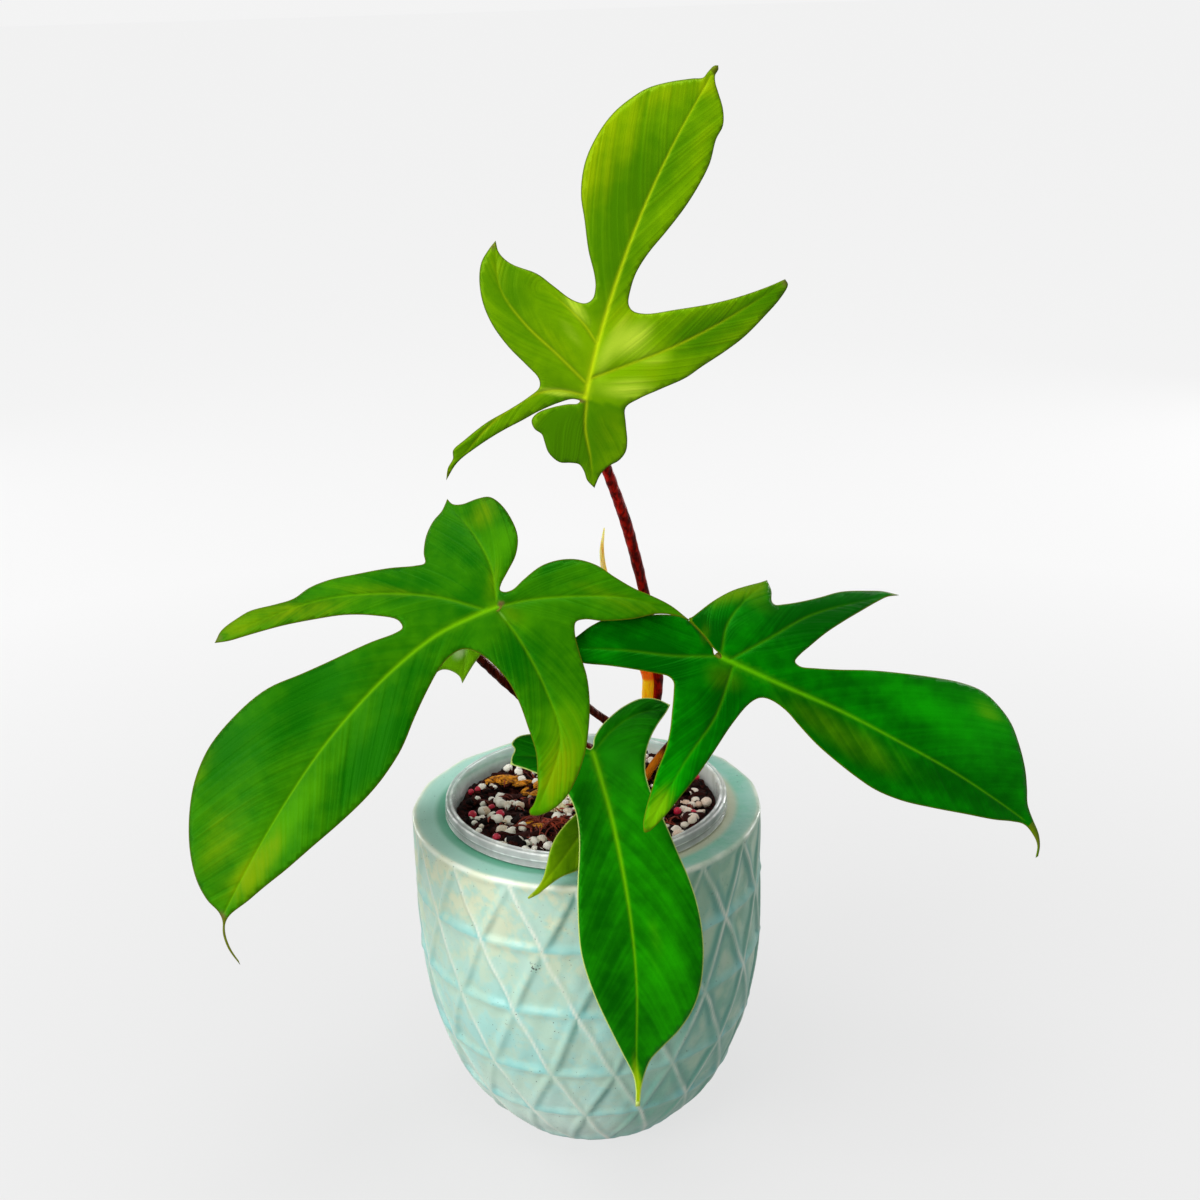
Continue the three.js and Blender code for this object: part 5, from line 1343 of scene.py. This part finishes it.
TUCKED_LOBE = {
    "joint": (3, -60, 169.4),
    "along": (-0.545, -0.467, -0.696),
    "faces": (0.21, -0.88, 0.43),
    "spread": 3,
    "wave": 0,
    "phase": 0,
    "bends": [(0, 40, 0)],
    "rib_show": 0.35,
    "vein_show": 0,
    "crease_show": 0,
    "rib_lean": 1.4,
    "tone": 0.2,
    "light_spots": [(0, 34, 8, 5, 0, 0.5), (-10, 18, 6, 4, 0, 0.3), (1, 12, 10, 3, 0, -0.3)],
    "yellow_spots": [(-1, 40, 7, 4, 0, 0.6), (-9, 20, 8, 3, 0, 0.4)],
    "veins": [[(-3, -2), (-4, 12), (-3, 28), (-0.5, 44)]],
    "margins": [
        [(0.6, 45), (-0.6, 40), (-0.5, 36), (1, 31), (2.7, 26), (3.5, 21), (3, 15), (1.6, 9), (1, 3), (1, -2),
         (1.2, -7)],
        [(1.2, -7), (-2, -7.5), (-4.4, -5), (-6, 1), (-9, 8), (-12, 16), (-12.5, 22), (-10, 27), (-6.3, 32),
         (-4, 37), (-2.2, 42), (0, 45.4)],
        [(0, 45.4), (0.6, 45)],
    ],
}
tucked_lobe = make_blade("tucked_lobe", TUCKED_LOBE)
tucked_lobe.data.materials.append(leaf_material(
    "olive leaf skin",
    {
        "Deep": (0.035, 0.11, 0.0006, 1),
        "Fresh": (0.14, 0.30, 0.001, 1),
        "Yellow": (0.24, 0.36, 0.001, 1),
        "Gleam": (0.30, 0.45, 0.10, 1),
        "Vein": (0.20, 0.36, 0.004, 1),
        "Margin": (0.35, 0.42, 0.06, 1),
        "Underside": (0.09, 0.18, 0.02, 1),
    },
    gleam=(0.3, 0.8, 0.01, 1),
))

# Back leaf
# A small blade behind the left one, from which only the tip of a side lobe and the petiole look out.
BACK_LEAF = {
    "joint": (-45, -10, 216),
    "along": (-0.7, -0.36, -0.615),
    "faces": (-0.1, -0.85, 0.5),
    "spread": 5,
    "wave": 0.4,
    "phase": 2.2,
    "bends": [(0, 80, 8), (60, 30, 2), (-60, 30, 2), (130, 35, 4), (-130, 35, 4)],
    "rib_show": 0.7,
    "vein_show": 0.3,
    "crease_show": 0.2,
    "rib_lean": 1.3,
    "tone": 0.4,
    "light_spots": [(-10, 10, 8, 6, 0, 0.5), (2, 70, 12, 8, 0, 0.5)],
    "yellow_spots": [(-11, 12, 5, 5, 0, 0.3)],
    "highlight_spots": [(-2.5, 6.5, 3.5, 2.5, 0, 0.8)],
    "veins": [
        [(0, 0), (3, 20), (4.5, 45), (2.5, 80)],
        [(2, 3), (10, 8), (19, 12)],
        [(1, -2), (5, -12), (8, -24)],
        [(-1, -1), (-7, -8), (-14, -15)],
        [(-1, 2), (-6, 7), (-11, 14)],
    ],
    "margins": [
        [(2, 82), (5, 75), (11, 66), (16, 55), (18.5, 43), (17, 31), (12, 20), (9.8, 14.5), (11, 12),
         (15, 12.5), (20, 13)],
        [(20, 13), (18, 8), (14, 2), (11.5, -3), (13, -9), (14, -15), (11.5, -19), (8, -21.5)],
        [(8, -21.5), (4, -21.6), (0.5, -20.5), (-1.2, -16), (-1.3, -10), (-0.8, -4), (-2.4, -3.6),
         (-4, -8), (-7, -14), (-11, -17), (-15, -16)],
        [(-15, -16), (-14, -11), (-11, -6), (-9.3, -1), (-9.5, 4), (-10.5, 10), (-11.6, 14.6)],
        [(-11.6, 14.6), (-9, 13.4), (-5, 14), (-2, 16), (-1, 19), (-1.5, 25), (-4, 33), (-8, 45), (-10, 55),
         (-8, 66), (-3, 75), (2, 82)],
    ],
}
back_blade = make_blade("back_blade", BACK_LEAF)
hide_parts("blade_back")
# Its greens are lighter than the other blades': partly its own fresher green, partly painted light against
# the left leaf's shade.
back_blade.data.materials.append(leaf_material(
    "back leaf skin",
    {
        "Deep": (0.03, 0.17, 0.0006, 1),
        "Fresh": (0.17, 0.45, 0.003, 1),
        "Yellow": (0.26, 0.42, 0.003, 1),
        "Gleam": (0.40, 0.52, 0.25, 1),
        "Vein": (0.20, 0.40, 0.02, 1),
        "Margin": (0.30, 0.40, 0.06, 1),
        "Underside": (0.09, 0.22, 0.02, 1),
    },
    gleam=(0.3, 0.8, 0.01, 1),
))

# Petioles
# Round leaf stalks, about 4 mm thick, dark red-brown and slightly bumpy, orange low down and greener
# where they meet the blade. Each one grows out of the stem and carries one blade.
PETIOLES = {
    "petiole_top": (
        [(25.5, 19, 158), (29, 17.5, 168), (30.4, 14.7, 176), (31.3, 13, 183), (31.3, 11.5, 190),
         (30, 8, 205.4), (25.7, 2, 230), (19.5, -9, 260), (12.4, -22, 286), (8, -33, 306),
         (5.4, -38.6, 316.4)],
        [2.4, 2.1, 2.0, 2.0, 2.2, 2.2, 2.1, 2.0, 1.3],
    ),
    "petiole_left": (
        [(21, 19, 148), (16, 8.5, 160), (9.4, -0.5, 173.8), (5, -3.4, 178.8), (-8.5, -20, 199),
         (-20.8, -36, 220), (-27.2, -47, 237), (-29.7, -51.4, 243)],
        [2.4, 1.8, 1.6, 1.6, 1.7, 1.8, 1.9],
    ),
    "petiole_right": (
        [(21, 19.5, 129), (26, 18.5, 140), (31.4, 16, 149.5), (37, 7, 161), (43, -18, 186), (48.5, -40, 209),
         (52, -55, 221.8)],
        [1.9, 1.7, 1.7, 1.8, 1.8, 2, 2],
    ),
    "petiole_front": (
        [(20, 19, 136), (17, 8, 143.5), (12.4, -4, 152), (8, -22, 164.5), (4.9, -38, 175.5),
         (3.9, -48, 181.2)],
        [2.3, 2, 1.8, 1.7, 1.8, 1.6],
    ),
    "petiole_back": (
        [(20.5, 21, 146), (13, 17, 149.5), (2.2, 12, 156), (-8, 8, 165), (-17.8, 4, 176.4), (-27, 0, 187.6),
         (-36.1, -3, 198.8), (-42, -5.6, 207), (-45, -9.6, 215.6)],
        [2.5, 2.2, 1.9, 1.8, 1.8, 1.9, 2],
    ),
}
PETIOLE_DARK = (0.018, 0.0012, 0.001, 1)
PETIOLE_BROWN = (0.11, 0.010, 0.003, 1)
PETIOLE_WINE = (0.06, 0.0006, 0.0006, 1)
PETIOLE_RED = (0.42, 0.006, 0.0015, 1)
PETIOLE_ORANGE = (0.80, 0.23, 0.01, 1)
PETIOLE_GREEN = (0.16, 0.17, 0.02, 1)
PETIOLE_SHEEN = (1, 0.12, 0.06, 1)
PETIOLE_RIPPLE = 0.12


def stalk_skin(name, dark, red):
    material, tree, skin = new_material(name, 0.45, 0.2)
    mottle = clouds(tree, place_on_object(tree, (1, 1, 0.35)), 0.7, 3)
    colour = mix_colours(tree, ramp(tree, mottle, 0.35, 0.7), dark, red)
    colour = mix_colours(tree, ramp(tree, stored(tree, "along"), 0.975, 1.0), colour, PETIOLE_GREEN)
    low_down = ramp(tree, place_axes(tree)["Z"], 156, 150, 0.0, 0.85)
    colour = mix_colours(tree, low_down, colour, PETIOLE_ORANGE)
    plug(tree, colour, skin.inputs["Base Color"])
    skin.inputs["Specular Tint"].default_value = PETIOLE_SHEEN
    add_bump(tree, skin, mottle, 0.5)
    return material


dark_stalk = stalk_skin("dark petiole skin", PETIOLE_DARK, PETIOLE_BROWN)
red_stalk = stalk_skin("red petiole skin", PETIOLE_WINE, PETIOLE_RED)
for node, (route, radii) in PETIOLES.items():
    points, faces, share = bar_along(route, radii, 16, 150, PETIOLE_RIPPLE)
    petiole = make_piece(node.replace("petiole", "stalk"), points, faces)
    store(petiole, "along", share)
    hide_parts(node)
    petiole.data.materials.append(red_stalk if node == "petiole_top" else dark_stalk)

# Stem
# A short upright stem, 10 mm thick, green under brown flakes of old sheath, with the rings that fallen
# leaves left. It stands in the mix.
STEM_ROUTE = [(20.3, 22, 100), (20.3, 21.5, 125), (20.7, 20.5, 145), (22.5, 20, 158), (25.5, 18.8, 169)]
STEM_RADII = [4.8, 5.2, 5, 4.4, 3.4]
STEM_GREEN = (0.10, 0.13, 0.02, 1)
STEM_BROWN = (0.16, 0.06, 0.018, 1)
STEM_RIPPLE = 0.12
RING_STEP = 9
RING_RISE = 0.25

points, faces, share = bar_along(STEM_ROUTE, STEM_RADII, 32, 150, STEM_RIPPLE)
centre = np.array(STEM_ROUTE[1][:2])
rings = RING_RISE * np.exp(-(((share * 72) % RING_STEP - RING_STEP / 2) / 0.7) ** 2)
outward = points[:, :2] - centre
points[:, :2] += outward / np.linalg.norm(outward, axis=1)[:, None] * rings[:, None]
stem = make_piece("climbing_stem", points, faces)
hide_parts("stem")
stem.data.materials.append(grained(
    "stem skin", STEM_GREEN, STEM_BROWN, fineness=0.5, spread=(0.4, 0.6), relief=0.5,
    roughness=0.6, specular=0.35, stretch=(1, 1, 0.3),
))

# Sheath of the next leaf
# A waxy yellow-orange sheath that clasps the top leaf's petiole and lets light through, its upper part
# dried to a thin pale brown spear.
SHEATH_ROUTE = [(26, 18.5, 162), (27.2, 16.5, 172), (27.6, 15, 180), (27.7, 14, 187), (25, 12, 196),
                (21, 9.5, 206), (15.6, 7, 220), (10.8, 4, 234.9), (9.6, 2, 246), (10.8, 0, 256.4)]
SHEATH_RADII = [3.0, 3.1, 3.05, 3.0, 2.4, 2.0, 1.6, 1.25, 0.95, 0.25]
SHEATH_YELLOW = (1.0, 0.50, 0.002, 1)
SHEATH_ORANGE = (0.85, 0.14, 0.006, 1)
SPEAR_PALE = (0.92, 0.66, 0.34, 1)
SPEAR_BROWN = (0.62, 0.32, 0.09, 1)
SHEATH_SHEEN = (1, 0.7, 0.2, 1)
# The glow is painted light, standing in for light that shines through the wax.
SHEATH_GLOW = 0.16
SHEATH_RIPPLE = 0.04

points, faces, _ = bar_along(SHEATH_ROUTE, SHEATH_RADII, 24, 160, SHEATH_RIPPLE)
sheath = make_piece("new_leaf_sheath", points, faces)
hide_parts("sheath")
wax, tree, skin = new_material("sheath skin", 0.4, 0.4)
skin.inputs["Specular Tint"].default_value = SHEATH_SHEEN
skin.inputs["Subsurface Weight"].default_value = 1
skin.inputs["Subsurface Radius"].default_value = (1, 0.6, 0.1)
skin.inputs["Subsurface Scale"].default_value = 0.01
fibre = clouds(tree, place_on_object(tree, (1, 1, 0.12)), 1.4, 3)
level = place_axes(tree)["Z"]
yellow = mix_colours(tree, ramp(tree, fibre, 0.45, 0.75, 0.0, 0.5), SHEATH_YELLOW, SHEATH_ORANGE)
low = mix_colours(tree, ramp(tree, level, 185.5, 187.5), yellow, SHEATH_ORANGE)
low = mix_colours(tree, ramp(tree, level, 205, 225), low, SHEATH_YELLOW)
high = mix_colours(tree, ramp(tree, fibre, 0.4, 0.7), SPEAR_PALE, SPEAR_BROWN)
colour = mix_colours(tree, ramp(tree, level, 228, 244), low, high)
plug(tree, colour, skin.inputs["Base Color"])
# Painted light: the lower, waxy part glows faintly, standing in for light that shines through it.
glow = mix_colours(tree, ramp(tree, level, 205, 235), low, (0, 0, 0, 1))
plug(tree, glow, skin.inputs["Emission Color"])
skin.inputs["Emission Strength"].default_value = SHEATH_GLOW
add_bump(tree, skin, fibre, 0.3)
sheath.data.materials.append(wax)

# Dried husk
# A pale fibrous scrap of an old sheath, thin and arched, lying on the mix under the leaves.
HUSK_PLACE = (-9.5, 4)
HUSK_TURN = -0.5
HUSK_LENGTH = 23
HUSK_WIDTH = 9
HUSK_THICK = 0.7
HUSK_ROWS = 40
HUSK_COLUMNS = 12
HUSK_PALE = (0.90, 0.84, 0.52, 1)
HUSK_BROWN = (0.40, 0.24, 0.08, 1)

husk_points = []
for side in (HUSK_THICK / 2, -HUSK_THICK / 2):
    for u in np.linspace(-1, 1, HUSK_ROWS + 1):
        for v in np.linspace(-1, 1, HUSK_COLUMNS + 1):
            taper = (1 - abs(u) ** 2.6) ** 0.5 * 0.9 + 0.1
            x = v * HUSK_WIDTH / 2 * taper + 0.6 * math.sin(3 * u)
            y = u * HUSK_LENGTH / 2
            lift = 1.5 * (1 - v * v) * taper + 0.25 * math.sin(7 * v + 2 * u) + side
            place_x = HUSK_PLACE[0] + x * math.cos(HUSK_TURN) - y * math.sin(HUSK_TURN)
            place_y = HUSK_PLACE[1] + x * math.sin(HUSK_TURN) + y * math.cos(HUSK_TURN)
            husk_points.append((place_x, place_y, MIX_TOP + 0.4 + lift))
across = HUSK_COLUMNS + 1
sheet = len(husk_points) // 2
husk_faces = []
for i in range(HUSK_ROWS):
    for j in range(HUSK_COLUMNS):
        a = i * across + j
        upper = (a, a + 1, a + 1 + across, a + across)
        husk_faces += [upper, tuple(corner + sheet for corner in reversed(upper))]
border = list(range(across)) + list(range(2 * across - 1, sheet, across))
border += list(range(sheet - 2, sheet - across - 1, -1)) + list(range(sheet - 2 * across, 0, -across))
for a, b in zip(border, border[1:] + border[:1]):
    husk_faces.append((b, a, a + sheet, b + sheet))
husk = make_piece("dry_husk", husk_points, husk_faces)
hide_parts("dried_husk")
husk.data.materials.append(grained(
    "dry husk", HUSK_PALE, HUSK_BROWN, fineness=0.9, spread=(0.5, 0.75), relief=0.4,
    roughness=0.75, specular=0.3, stretch=(2.2, 0.35, 1),
))
